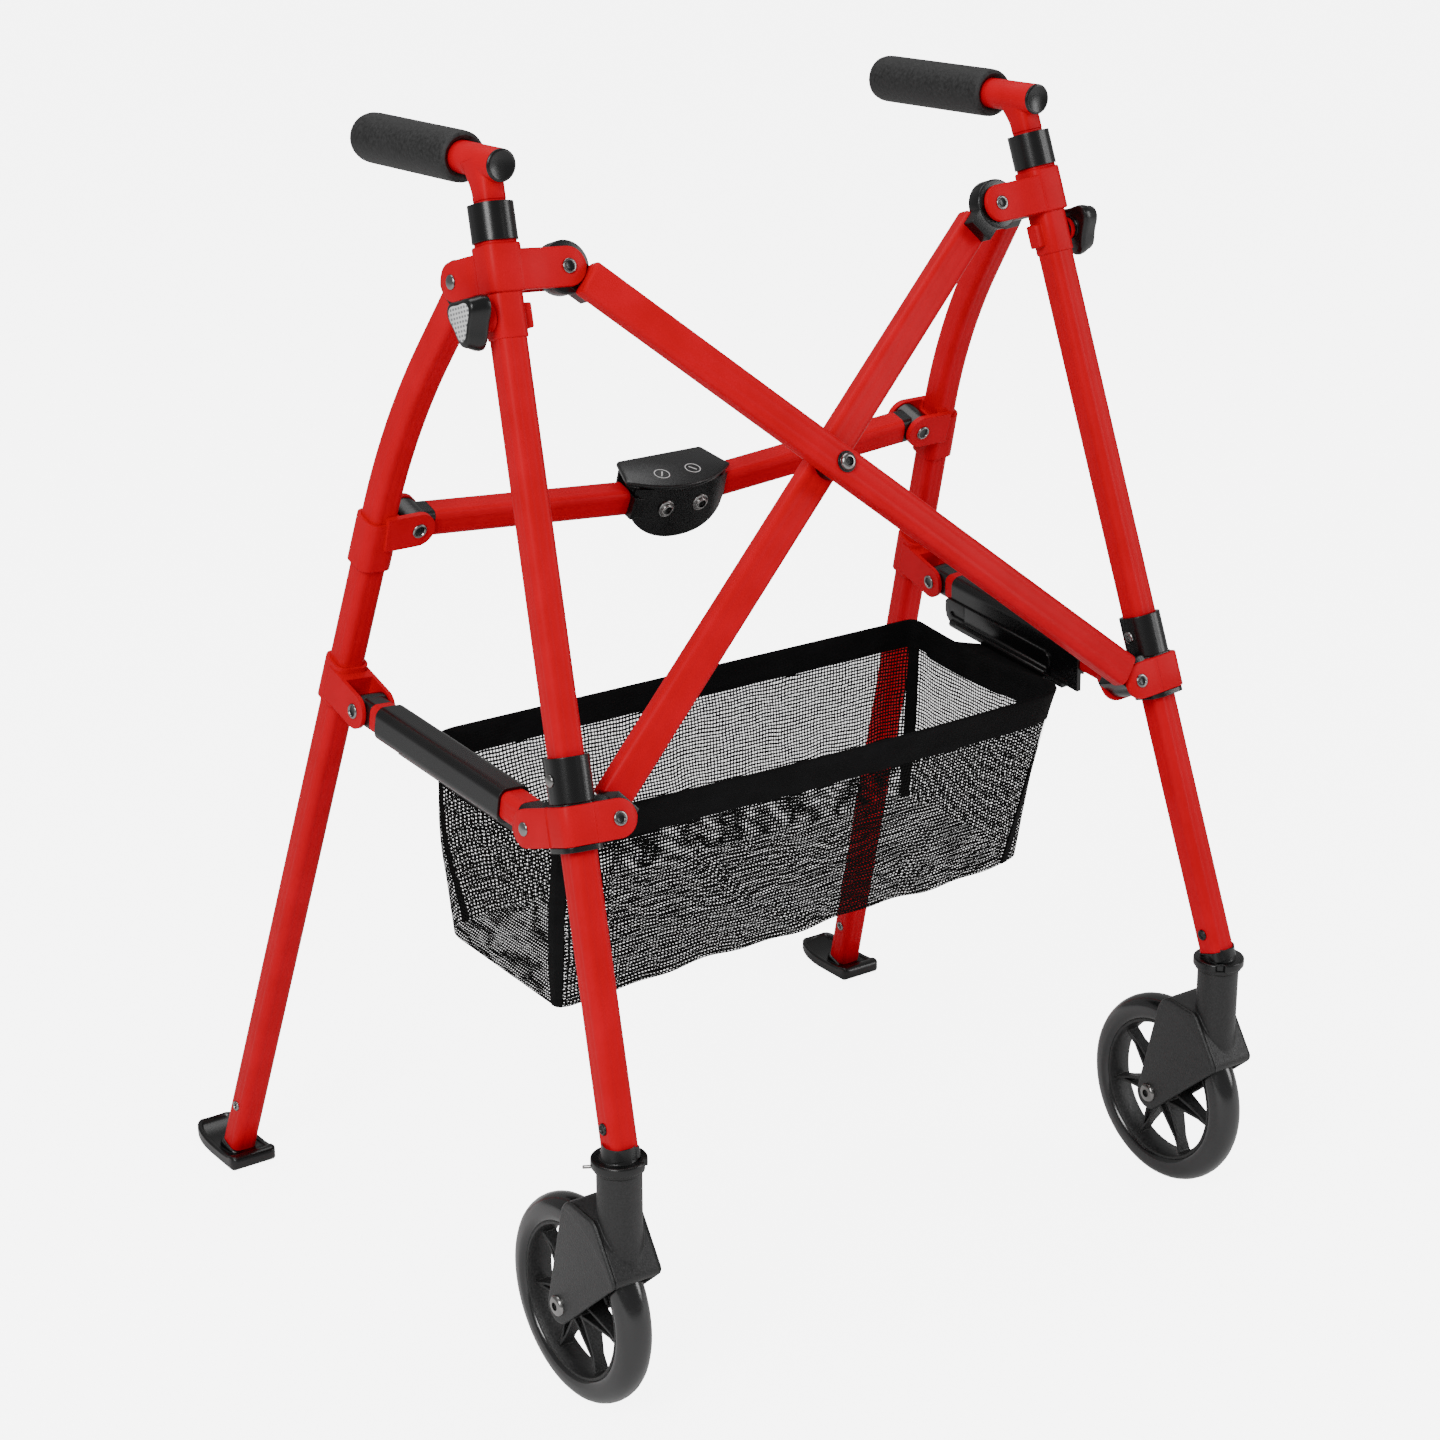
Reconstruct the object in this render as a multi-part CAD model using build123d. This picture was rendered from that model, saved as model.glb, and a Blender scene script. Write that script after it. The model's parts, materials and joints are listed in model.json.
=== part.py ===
from build123d import *
import math
import os

# Folding rollator walker. Millimetres, +Z up, front = -Y, the user stands at +Y.
# "right" is the user's right (x < 0). Right-hand parts are built and then mirrored for the left.

# ---- frame of the right front leg -------------------------------------------------
HUB = (-233.7, 194.4, 759.9)      # point on the leg axis at the height of the hub pins
LEAN = 18.53                      # legs lean rearward going up, degrees
SPLAY = 3.73                      # legs spread outward going down, degrees
TOE = 3.3                         # side frames open outward towards the rear, degrees
LEG = 21.0                        # rounded-square tube, across the flats
LEG_R = 5.5
WALL = 1.35
LEG_TOP = 41.0                    # along the leg axis from HUB
LEG_BOTTOM = -582.0
COLLAR_AT = -365.0
COLLAR_H = 27.0
COLLAR_SHIFT = -1.2               # the collar hangs off centre by half its side play
COLLAR_PLAY = 1.3
BRACE_TOP_ARM = 47.5              # hub pin to leg axis
BRACE_LOW_ARM = 25.5              # collar pin to leg axis
REAR_PIVOT = 37.4                 # rear leg pin behind the front leg axis
LINK_PIVOT = 36.5                 # side bar pin behind the front leg axis
LINK_REAR = (242.8, -277.0)       # side bar rear pin, rearward and along the leg

# ---- brace bars ---------------------------------------------------------------------
BAR_H = 25.0
BAR_T = 16.0
BAR_OFF = 11.5
HUB_EYE = 14.0
LOW_EYE = 11.0

# ---- rear leg, in the side frame (rearward, along the leg) ---------------------------
REAR_BEND = (149.9, -83.2)
REAR_BEND_R = 470.0
REAR_RUN = 657.0                  # lower run, from the bend's corner to the foot
REAR_SLOPE = 36.315               # lower run from the front leg direction, degrees
CROSS_FOOT_AT = 92.85             # cross bar bracket, down the lower run
LINK_FOOT_AT = 211.2              # side bar bracket, down the lower run

# ---- cross bar and centre housing ----------------------------------------------------
CROSS_TILT = 17.9
CROSS_PIN = (-228.5, 335.1, 556.9)
HOUSING_PIN = (-15.5, 341.3, 537.5)
CROSS_TUBE_END = 44.0             # tube end from the centre plane
EYE_IN = 12.6                     # eye plates sit in front of and behind the tubes
EYE_OUT = 16.0

# ---- casters, feet, handles ----------------------------------------------------------
SWIVEL = (-273.0, 8.7)
WHEEL_C = (-273.0, 57.4, 75.0)
WHEEL_R = 75.0
TYRE_W = 25.0
RIM_R = 57.0
SPOKE_PAIRS = 7
GRIP_START = 47.0
GRIP_LEN = 131.0
GRIP_D = 35.0
HANDLE_D = 22.0
HANDLE_FRONT = (-228.4, 197.5, 828.8)
HANDLE_DIR = (0.012, 0.9994, -0.032)

ORIGIN_Y = 270.69                 # the frame's origin is on the floor under the middle of the walker

PIN_R = 3.5
FIT = 0.05                        # radial running clearance


REAR_DIR = (math.sin(math.radians(REAR_SLOPE)), -math.cos(math.radians(REAR_SLOPE)))


def lower_run(distance):
    """A point on the lower run of the rear leg, in the side frame."""
    return (REAR_BEND[0] + distance * REAR_DIR[0], REAR_BEND[1] + distance * REAR_DIR[1])


REAR_END = lower_run(REAR_RUN)
CROSS_FOOT = lower_run(CROSS_FOOT_AT)
LINK_FOOT = lower_run(LINK_FOOT_AT)


def vec(*p):
    return Vector(*p)


lean, splay = math.radians(LEAN), math.radians(SPLAY)
leg_up = vec(math.sin(splay), math.cos(splay) * math.sin(lean), math.cos(splay) * math.cos(lean))
front_x = vec(math.cos(splay), -math.sin(splay) * math.sin(lean), -math.sin(splay) * math.cos(lean))
FRONT = Plane(origin=HUB, x_dir=front_x, z_dir=leg_up)
toe = math.radians(TOE)
side_x = FRONT.x_dir * math.cos(toe) + FRONT.y_dir * math.sin(toe)
SIDE = Plane(origin=HUB, x_dir=side_x, z_dir=leg_up)
brace_n = vec(0, -math.cos(lean), math.sin(lean))
tilt = math.radians(CROSS_TILT)
cross_n = vec(0, -math.cos(tilt), -math.sin(tilt))


def mirror_left(part):
    return mirror(part, about=Plane.YZ)


def rounded_bar(width, depth, radius, start, end):
    """Solid rounded-rectangle bar along local Z."""
    bar = extrude(RectangleRounded(width, depth, radius), end - start)
    return Pos(0, 0, start) * bar


def tube(width, depth, radius, start, end, wall=WALL):
    outer = rounded_bar(width, depth, radius, start, end)
    inner = rounded_bar(width - 2 * wall, depth - 2 * wall, radius - wall, start - 1, end + 1)
    return outer - inner


def x_cyl(radius, x0, x1, y=0.0, z=0.0):
    return Pos((x0 + x1) / 2, y, z) * Rot(0, 90, 0) * Cylinder(radius, x1 - x0)


def y_cyl(radius, y0, y1, x=0.0, z=0.0):
    return Pos(x, (y0 + y1) / 2, z) * Rot(90, 0, 0) * Cylinder(radius, y1 - y0)


def block(x0, x1, y0, y1, z0, z1):
    return Pos((x0 + x1) / 2, (y0 + y1) / 2, (z0 + z1) / 2) * Box(x1 - x0, y1 - y0, z1 - z0)


def along(start, direction, x_dir):
    """Placement with local Z along a direction and local X as near x_dir as it can be."""
    z = Vector(direction).normalized()
    x = Vector(x_dir)
    x = (x - z * x.dot(z)).normalized()
    return Plane(origin=start, x_dir=x, z_dir=z).location


def rivet_head(radius, height, bore=0.0):
    """Domed head on local Z, base at 0, with an optional blind recess."""
    base = Cylinder(radius, height * 0.55, align=(Align.CENTER, Align.CENTER, Align.MIN))
    top = Pos(0, 0, height * 0.55) * Cone(
        radius, radius * 0.62, height * 0.45, align=(Align.CENTER, Align.CENTER, Align.MIN)
    )
    head = base + top
    if bore:
        head -= Pos(0, 0, height) * Cylinder(bore, height)
    return head


def pin_z(radius, half, head_r, head_h, bore=0.0):
    """Pin along local Z with a head at both ends, gripping a stack of 2 * half."""
    shank = Cylinder(radius, 2 * half)
    top = Pos(0, 0, half) * rivet_head(head_r, head_h, bore)
    bottom = Rot(180, 0, 0) * top
    return shank + top + bottom


# ---- front leg body -------------------------------------------------------------------
def front_leg():
    leg = tube(LEG, LEG, LEG_R, LEG_BOTTOM, LEG_TOP)
    leg -= x_cyl(2.5, -20, 20, 0, -567)
    leg -= x_cyl(2.5, -20, 20, 0, -334)
    return FRONT.location * leg


def ear_plate(reach, radius, half_gap, half_out, height, turn):
    """Two parallel ear plates towards local +X with rounded ends about (reach, 0)."""
    plates = Part()
    for side in (-1, 1):
        y0, y1 = sorted((side * half_gap, side * half_out))
        body = block(0, reach, y0, y1, -height / 2, height / 2)
        body += y_cyl(radius, y0, y1, reach)
        plates += body
    return Rot(0, 0, turn) * plates


def hub():
    height = 27.0
    wrap = rounded_bar(27, 27, 6, -14, 18)
    low = rounded_bar(23.2, 23.2, 6.3, -44, -13)
    front_ear = ear_plate(BRACE_TOP_ARM, 13.5, 6.8, 10.4, height, 0)
    rear_ear = ear_plate(REAR_PIVOT, 13.5, 10.8, 14.2, height, 90 + TOE)
    neck = rounded_bar(24.6, 24.6, 6.5, 17, 20)
    boss = x_cyl(8.5, -17.0, -9, 0, -29)
    tab = block(11, 18.5, -4.5, 4.5, -38, -22)
    tab += block(11, 22.0, -4.5, 4.5, -35, -25)
    body = wrap + low + front_ear + rear_ear + neck + boss + tab
    body -= rounded_bar(LEG, LEG, LEG_R, -60, 60)
    body -= y_cyl(PIN_R, -20, 20, BRACE_TOP_ARM)
    body -= Rot(0, 0, TOE) * x_cyl(PIN_R, -20, 20, REAR_PIVOT)
    body -= x_cyl(3.0, -30, -10.5, 0, -29)
    return FRONT.location * body


def leg_sleeves():
    """Top bushing sleeve, and the fixed stop sleeve above the sliding collar."""
    top = rounded_bar(29.5, 29.5, 13.0, 20, 45)
    top -= rounded_bar(LEG, LEG, LEG_R, 0, LEG_TOP)
    top -= rounded_bar(18.3, 18.3, 4.6, 30, 60)
    stop = rounded_bar(29.5, 29.5, 13.0, -350.0, -319.5)
    stop -= rounded_bar(LEG, LEG, LEG_R, -400, -300)
    stop -= x_cyl(2.5, -20, 20, 0, -334)
    return FRONT.location * top, FRONT.location * stop


def leg_plug():
    spigot = FRONT.location * rounded_bar(18.3, 18.3, 4.15, LEG_BOTTOM, LEG_BOTTOM + 30)
    spigot -= FRONT.location * x_cyl(2.5, -20, 20, 0, -567)
    neck = FRONT.location * rounded_bar(24, 24, 8, -590, LEG_BOTTOM)
    x, y = SWIVEL
    cup = Pos(x, y, 204.0) * Cylinder(14.0, 16)
    flange = Pos(x, y, 200.5) * Cylinder(19.0, 4.6)
    lower = Pos(x, y, 196.75) * Cylinder(17.5, 1.5)
    notch = Pos(x + 19, y, 200.5) * Box(5, 6, 5)
    neck = neck & Pos(x, y, 222) * Box(80, 80, 50)
    shaft = Pos(x, y, 182) * Cylinder(6.0, 42)
    socket = FRONT.location * rounded_bar(LEG, LEG, LEG_R, LEG_BOTTOM, LEG_BOTTOM + 60)
    return (neck + cup + flange - notch + lower + shaft) - socket + spigot


def leg_pins():
    """Hub pins and through rivets of the front leg, same fastener in several lengths."""
    brace = pin_z(PIN_R, 10.4, 6.0, 2.6, 2.4)
    brace = FRONT.location * (Pos(BRACE_TOP_ARM, 0, 0) * Rot(90, 0, 0) * brace)
    rear = pin_z(PIN_R, 14.2, 5.2, 2.4)
    rear = SIDE.location * (Pos(0, REAR_PIVOT, 0) * Rot(0, 90, 0) * rear)
    stop = FRONT.location * (Pos(0, 0, -334) * Rot(0, 90, 0) * pin_z(2.5, 14.75, 4.6, 2.0))
    foot = FRONT.location * (Pos(0, 0, -567) * Rot(0, 90, 0) * pin_z(2.5, 10.5, 4.2, 1.8, 1.6))
    return brace, rear, stop, foot


# ---- handle ----------------------------------------------------------------------------
def handle_axis():
    return along(HANDLE_FRONT, HANDLE_DIR, (1, 0, 0))


def handle_tube():
    length = GRIP_START + GRIP_LEN - 6
    bar = Pos(0, 0, length / 2 + 1) * Cylinder(HANDLE_D / 2, length - 2)
    bore = Pos(0, 0, length / 2) * Cylinder(HANDLE_D / 2 - 1.5, length + 20)
    cross = handle_axis() * bar
    stem = FRONT.location * rounded_bar(18.1, 18.1, 4.5, -150, 71)
    stem -= FRONT.location * rounded_bar(15.5, 15.5, 3.2, -160, 55)
    weld = FRONT.location * rounded_bar(20.5, 20.5, 6, 52, 68)
    return (cross + stem + weld) - handle_axis() * bore


def grip():
    body = Pos(0, 0, GRIP_START + GRIP_LEN / 2) * Cylinder(GRIP_D / 2, GRIP_LEN)
    body = fillet(body.edges().filter_by(GeomType.CIRCLE), 4.0)
    bore = Pos(0, 0, GRIP_START - 1 + (GRIP_LEN - 5) / 2) * Cylinder(HANDLE_D / 2, GRIP_LEN - 5)
    return handle_axis() * (body - bore)


def handle_plug():
    cap = Pos(0, 0, 0) * Cylinder(HANDLE_D / 2, 2)
    cap = chamfer(cap.faces().sort_by(Axis.Z)[0].edges(), 0.8)
    spigot = Pos(0, 0, 7) * Cylinder(HANDLE_D / 2 - 1.5, 12)
    return handle_axis() * (cap + spigot)


# ---- clamp knob --------------------------------------------------------------------------
def knob():
    """Three-lobed clamp knob on the outer side of the hub, turning about local X."""
    lobe = Part()
    for n in range(3):
        angle = math.radians(90 + 120 * n)
        lobe += Pos(11.0 * math.cos(angle), 11.0 * math.sin(angle), 0) * Cylinder(10.5, 15)
    lobe += Cylinder(15.0, 15)
    lobe = Pos(0, 0, 26.5) * lobe
    neck = Pos(0, 0, 18.2) * Cylinder(8, 2.2)
    screw = Pos(0, 0, 15.2) * Cylinder(3.0 - FIT, 8.4)
    body = lobe + neck + screw
    return FRONT.location * (Pos(0, 0, -29) * Rot(0, -90, 0) * Rot(0, 0, 90) * body)


# ---- collar ---------------------------------------------------------------------------------
def collar():
    """Red sliding collar with an ear for the brace bar and an ear for the side bar."""
    half = COLLAR_H / 2
    shift = COLLAR_SHIFT
    wrap = rounded_bar(31.6, 31.6, 7.0, -half, half)
    inner = ear_plate(BRACE_LOW_ARM - shift, half, 12.8, 15.8, COLLAR_H, 0)
    rear = ear_plate(LINK_PIVOT, half, 12.8, 15.8, COLLAR_H, 90 + TOE)
    body = wrap + inner + rear
    body -= rounded_bar(25.6, 25.6, 5.8, -30, 30)
    body -= block(8, 24, -12.8, 12.8, -30, 30)
    body = Pos(shift, 0, 0) * body
    body -= y_cyl(PIN_R, -20, 20, BRACE_LOW_ARM)
    body -= Pos(shift, 0, 0) * Rot(0, 0, TOE) * x_cyl(PIN_R, -20, 20, LINK_PIVOT)
    return FRONT.location * Pos(0, 0, COLLAR_AT) * body


def collar_bushing():
    half = COLLAR_H / 2
    shift = COLLAR_SHIFT
    core = rounded_bar(25.6, 25.6, 5.8, -half - 3, half)
    flange = rounded_bar(30.5, 30.5, 6.5, -half - 3.4, -half)
    bore = rounded_bar(LEG + 2 * COLLAR_PLAY, LEG + 2 * COLLAR_PLAY, LEG_R + COLLAR_PLAY, -30, 30)
    body = Pos(shift, 0, 0) * (core + flange - bore)
    return FRONT.location * Pos(0, 0, COLLAR_AT) * body


def collar_pins():
    """The brace pin runs through; the side bar is held by a short pin in each ear."""
    brace = Pos(BRACE_LOW_ARM, 0, 0) * Rot(90, 0, 0) * pin_z(PIN_R, 15.8, 6.0, 2.4, 2.6)
    short = Part()
    for side in (-1, 1):
        stub = x_cyl(PIN_R, 12.8, 15.8) + Pos(15.8, 0, 0) * Rot(0, 90, 0) * rivet_head(5.2, 2.2)
        turn = Rot(0, 0, TOE) * Pos(0, LINK_PIVOT, 0)
        short += Pos(COLLAR_SHIFT, 0, 0) * turn * (stub if side > 0 else Rot(0, 0, 180) * stub)
    place = FRONT.location * Pos(0, 0, COLLAR_AT)
    return place * brace, place * short


# ---- brace bars -----------------------------------------------------------------------------
def brace_points():
    top = FRONT.from_local_coords(Vector(BRACE_TOP_ARM, 0, 0))
    low = FRONT.from_local_coords(Vector(BRACE_LOW_ARM, 0, COLLAR_AT))
    return top, Vector(-low.X, low.Y, low.Z)


def brace_place():
    """Local Z from the right hub pin to the left collar pin, local Y to the front."""
    top, low = brace_points()
    z = (low - top).normalized()
    return Plane(origin=top, x_dir=brace_n.cross(z), z_dir=z).location, (low - top).length


def brace_centre():
    top, low = brace_points()
    length = (low - top).length
    return length * (-top.X) / (low.X - top.X)


def brace_bar(face, hole):
    """A bar whose ends meet the hub and collar in the plane; face is +1 front, -1 rear."""
    length = brace_place()[1]
    bar = Pos(0, face * BAR_OFF, 0) * tube(BAR_H, BAR_T, 5.0, 19, length - 17, 1.4)
    return bar - y_cyl(hole, -30, 30, 0, brace_centre())


def brace_insert(face, eye, eye_half, start):
    """Offset end insert with its eye on the pin at the local origin."""
    lo, hi = sorted((face * (BAR_OFF - BAR_T / 2), face * (BAR_OFF + BAR_T / 2)))
    plug = Pos(0, face * BAR_OFF, 0) * rounded_bar(BAR_H - 2.8, BAR_T - 2.8, 3.6, start, start + 24)
    head = y_cyl(eye, -eye_half, eye_half)
    neck = block(-10, 10, -eye_half, eye_half, 0, start)
    step = block(-10, 10, lo, hi, start - 3.4, start)
    step += block(-10, 10, min(lo, -eye_half), max(hi, eye_half), start - 3.4, start)
    body = head + neck + step + plug
    return body - y_cyl(PIN_R + FIT, -30, 30)


def front_brace():
    place, length = brace_place()
    top = brace_insert(1, HUB_EYE, 6.5, 19)
    low = Pos(0, 0, length) * Rot(0, 180, 0) * brace_insert(1, LOW_EYE, 12.4, 17)
    spacer = y_cyl(11, -3.4, 3.5, 0, brace_centre()) - y_cyl(4.0, -9, 9, 0, brace_centre())
    bar = place * brace_bar(1, 4.0)
    return bar, (place * top, place * low, place * spacer)


def rear_brace():
    place, length = brace_place()
    top = brace_insert(-1, HUB_EYE, 6.5, 19)
    low = Pos(0, 0, length) * Rot(0, 180, 0) * brace_insert(-1, LOW_EYE, 12.4, 17)
    parts = [place * p for p in (brace_bar(-1, 4.0 + FIT), top, low)]
    parts = [mirror(p, about=Plane.YZ) for p in parts]
    return parts[0], (parts[1], parts[2])


def brace_bolt():
    place = brace_place()[0]
    grip_half = BAR_OFF + BAR_T / 2
    bolt = pin_z(4.0, grip_half + 0.1, 8.5, 4.0, 2.6)
    return place * (Pos(0, 0, brace_centre()) * Rot(-90, 0, 0) * bolt)


# ---- rear leg body ---------------------------------------------------------------------------
def side_point(y, z, x=0.0):
    return SIDE.from_local_coords(Vector(x, y, z))


def rear_path():
    """Centre line of the rear leg from just below the hub pin to the foot, in the side frame."""
    up = Vector(REAR_BEND[0] - REAR_PIVOT, REAR_BEND[1], 0)
    start = Vector(REAR_PIVOT, 0, 0) + up.normalized() * 17
    corner = Vector(*REAR_BEND, 0)
    end = Vector(*REAR_END, 0)
    line = Polyline((start.X, start.Y), (corner.X, corner.Y), (end.X, end.Y))
    path = fillet(line.vertices().sort_by_distance((corner.X, corner.Y))[0], REAR_BEND_R)
    flat = Plane(origin=HUB, x_dir=SIDE.y_dir, z_dir=side_x)
    return flat, path, start


def rear_sweep(width, radius):
    flat, path, start = rear_path()
    up = Vector(REAR_BEND[0] - REAR_PIVOT, REAR_BEND[1], 0).normalized()
    section = Plane(origin=(start.X, start.Y, 0), x_dir=(0, 0, 1), z_dir=(up.X, up.Y, 0))
    profile = section * RectangleRounded(width, width, radius)
    return flat.location * sweep(profile, path)


def rear_leg():
    leg = rear_sweep(LEG, LEG_R) - rear_sweep(LEG - 2 * WALL, LEG_R - WALL)
    hole = x_cyl(2.5, -20, 20, REAR_END[0] - 34 * REAR_DIR[0], REAR_END[1] - 34 * REAR_DIR[1])
    return leg - SIDE.location * hole


def rear_leg_cap():
    """Black end insert with the eye that turns on the hub pin."""
    head = x_cyl(14.5, -10.4, 10.4)
    body = rounded_bar(LEG, LEG, LEG_R, 4, 17) + rounded_bar(18.2, 18.2, 4.1, 17, 42)
    direction = (0, REAR_BEND[0] - REAR_PIVOT, REAR_BEND[1])
    cap = head + along((0, 0, 0), direction, (1, 0, 0)) * body
    cap = cap - x_cyl(PIN_R + FIT, -30, 30)
    return SIDE.location * (Pos(0, REAR_PIVOT, 0) * cap)


def rear_place(foot):
    """On the lower run of the rear leg: local Z down the leg, local X inboard, local Y forward."""
    down = SIDE.y_dir * REAR_DIR[0] + SIDE.z_dir * REAR_DIR[1]
    return Plane(origin=side_point(*foot), x_dir=side_x, z_dir=down * -1)


def rear_brackets():
    """Clamped bracket for the cross bar, and the one for the side bar."""
    place = rear_place(CROSS_FOOT)
    wrap = place.location * rounded_bar(26.6, 26.6, 8.0, -19, 19)
    slot = place.location * rounded_bar(LEG + 0.04, LEG + 0.04, LEG_R, -40, 40)
    tongue = Plane(origin=CROSS_PIN, x_dir=(1, 0, 0), z_dir=cross_n)
    ears = Part()
    for side in (-1, 1):
        z0, z1 = sorted((side * 10.8, side * 15.4))
        ears += block(-26, 0, -13, 13, z0, z1) + Pos(0, 0, (z0 + z1) / 2) * Cylinder(13, z1 - z0)
    back = block(-26, -15.5, -13, 13, -15.4, 15.4)
    ears = tongue.location * (ears + back)
    upper = (wrap + ears) - slot - tongue.location * Cylinder(PIN_R, 60)

    place = rear_place(LINK_FOOT)
    wrap = place.location * rounded_bar(26.6, 26.6, 8.0, -17, 17)
    slot = place.location * rounded_bar(LEG + 0.04, LEG + 0.04, LEG_R, -40, 40)
    pivot = side_point(*LINK_REAR)
    reach = pivot - side_point(*LINK_FOOT)
    arm = Plane(origin=side_point(*LINK_FOOT), x_dir=reach, z_dir=side_x * -1)
    plates = Part()
    for side in (-1, 1):
        z0, z1 = sorted((side * 10.8, side * 14.0))
        plates += block(0, reach.length, -13, 13, z0, z1)
        plates += Pos(reach.length, 0, (z0 + z1) / 2) * Cylinder(13, z1 - z0)
    plates += block(6, 20, -13, 13, -14.0, 14.0)
    lower = (wrap + arm.location * plates) - slot
    lower -= arm.location * (Pos(reach.length, 0, 0) * Cylinder(PIN_R, 60))
    return upper, lower


def rear_pins():
    cross = Plane(origin=CROSS_PIN, x_dir=(1, 0, 0), z_dir=cross_n).location
    upper = cross * pin_z(PIN_R, 15.4, 5.8, 2.4, 2.4)
    lower = SIDE.location * (
        Pos(0, LINK_REAR[0], LINK_REAR[1]) * Rot(0, 90, 0) * pin_z(PIN_R, 14.0, 5.8, 2.4, 2.4)
    )
    y = REAR_END[0] - 34 * REAR_DIR[0]
    z = REAR_END[1] - 34 * REAR_DIR[1]
    foot = SIDE.location * (Pos(0, y, z) * Rot(0, 90, 0) * pin_z(2.5, 10.5, 4.2, 1.8, 1.6))
    return upper, lower, foot


def foot():
    """Glide foot: a ski with an upturned heel, and a plug up inside the leg."""
    end = side_point(*REAR_END)
    x, y = end.X, end.Y
    with BuildSketch(Plane.YZ) as side:
        with BuildLine():
            Polyline((y - 29, 10), (y - 20, 0), (y + 14, 0))
            ThreePointArc((y + 14, 0), (y + 34, 5), (y + 48, 19))
            Polyline((y + 48, 19), (y + 43, 22))
            ThreePointArc((y + 43, 22), (y + 31, 12.5), (y + 14, 9))
            Polyline((y + 14, 9), (y - 18, 9), (y - 24, 13), (y - 29, 10))
        make_face()
    ski = Pos(x, 0, 0) * extrude(side.sketch, 17, both=True)
    socket = rear_place(REAR_END).location * rounded_bar(26.5, 26.5, 7.5, -12, 1)
    socket = socket & Pos(x, y, 50) * Box(90, 90, 98)
    body = ski + socket
    body -= rear_place(REAR_END).location * rounded_bar(LEG, LEG, LEG_R, 0, 60)
    body += rear_place(REAR_END).location * rounded_bar(18.2, 18.2, 4.1, -1, 24)
    return body


# ---- side bar and basket rail --------------------------------------------------------------------
def link_place():
    """Local Z from the collar pin to the bracket pin, local X inboard."""
    low = side_point(LINK_PIVOT, COLLAR_AT)
    high = side_point(*LINK_REAR)
    return along(low, high - low, side_x), (high - low).length


def link_tube():
    place, length = link_place()
    return place * tube(LEG, LEG, LEG_R, 17, length - 17)


def link_inserts():
    place, length = link_place()
    parts = []
    for end in (0, 1):
        head = x_cyl(11.0, -10.4, 10.4)
        body = rounded_bar(20.8, 20.8, 5, 4, 17) + rounded_bar(18.2, 18.2, 4.1, 17, 38)
        body = head + body - x_cyl(PIN_R + FIT, -30, 30)
        turn = Pos(0, 0, length) * Rot(0, 180, 0) if end else Pos(0, 0, 0)
        parts.append(place * (turn * body))
    return parts


def hanger_rail():
    """Black C-shaped rail clipped over the side bar, with a lip that carries the basket rim."""
    place, length = link_place()
    start, end = 38, length - 28
    shell = rounded_bar(LEG + 4.4, LEG + 4.4, 7.2, start, end)
    shell -= rounded_bar(LEG, LEG, LEG_R, 0, length)
    lip = block(9.0, 12.7, -2, 26, start, end)
    lip += block(12.6, 18.0, 22, 26, start + 12, end - 12)
    opening = block(-3, 6, 8, 40, start - 1, end + 1)
    body = shell + lip - opening - rounded_bar(LEG, LEG, LEG_R, 0, length)
    return place * body


# ---- cross bar -------------------------------------------------------------------------------------
def cross_place():
    """Local Z from the bracket pin to the housing bolt, local Y to the front."""
    low = Vector(*CROSS_PIN)
    high = Vector(*HOUSING_PIN)
    return along(low, high - low, cross_n.cross(high - low)), (high - low).length


def cross_tube():
    place, length = cross_place()
    return place * tube(LEG, LEG, LEG_R, 15, length - (CROSS_TUBE_END - 15.5))


def cross_plugs(face):
    """Outer eye on the bracket pin, and inner eye plate to one side of the tube."""
    place, length = cross_place()
    tube_end = length - (CROSS_TUBE_END - 15.5)
    outer = y_cyl(12.0, -10.5, 10.5)
    outer += rounded_bar(20.8, 20.8, 5, 2, 15) + rounded_bar(18.2, 18.2, 4.1, 15, 34)
    outer -= y_cyl(PIN_R + FIT, -30, 30)
    y0, y1 = sorted((face * EYE_IN, face * EYE_OUT))
    head = block(-9, 9, min(y0, -8.5), max(y1, 8.5), tube_end, tube_end + 3.6)
    inner = rounded_bar(18.2, 18.2, 4.1, tube_end - 20, tube_end) + head
    inner += block(-8, 8, y0, y1, tube_end, length) + y_cyl(8.0, y0, y1, 0, length)
    inner -= y_cyl(PIN_R + FIT, -30, 30, 0, length)
    return place * outer, place * inner


def housing_plane():
    pin = Vector(*HOUSING_PIN)
    return Plane(origin=(0, pin.Y, pin.Z), x_dir=(1, 0, 0), z_dir=cross_n)


def housing():
    """Lift housing over the middle of the cross bar: shield-shaped top, half-round front skirt."""
    with BuildSketch(Plane.XZ) as top:
        with BuildLine():
            Polyline((-47, 6), (-39, -21), (39, -21), (47, 6))
            ThreePointArc((47, 6), (0, 23.5), (-47, 6))
        make_face()
    lid = Pos(0, 17.6, 0) * extrude(top.sketch, -3.0)
    with BuildSketch() as skirt:
        with BuildLine():
            Polyline((-42, 17.8), (-42, -2))
            ThreePointArc((-42, -2), (0, -26), (42, -2))
            Polyline((42, -2), (42, 17.8), (-42, 17.8))
        make_face()
    front = Pos(0, 0, 17.2) * extrude(skirt.sketch, 2.5)
    rear = block(-36.5, 36.5, -13, 17.8, -19.9, -17.4)
    body = lid + front + rear
    for x in (-15.5, 15.5):
        body -= Pos(x, 0, 15) * Cylinder(PIN_R, 16)
    return housing_plane().location * body


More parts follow.
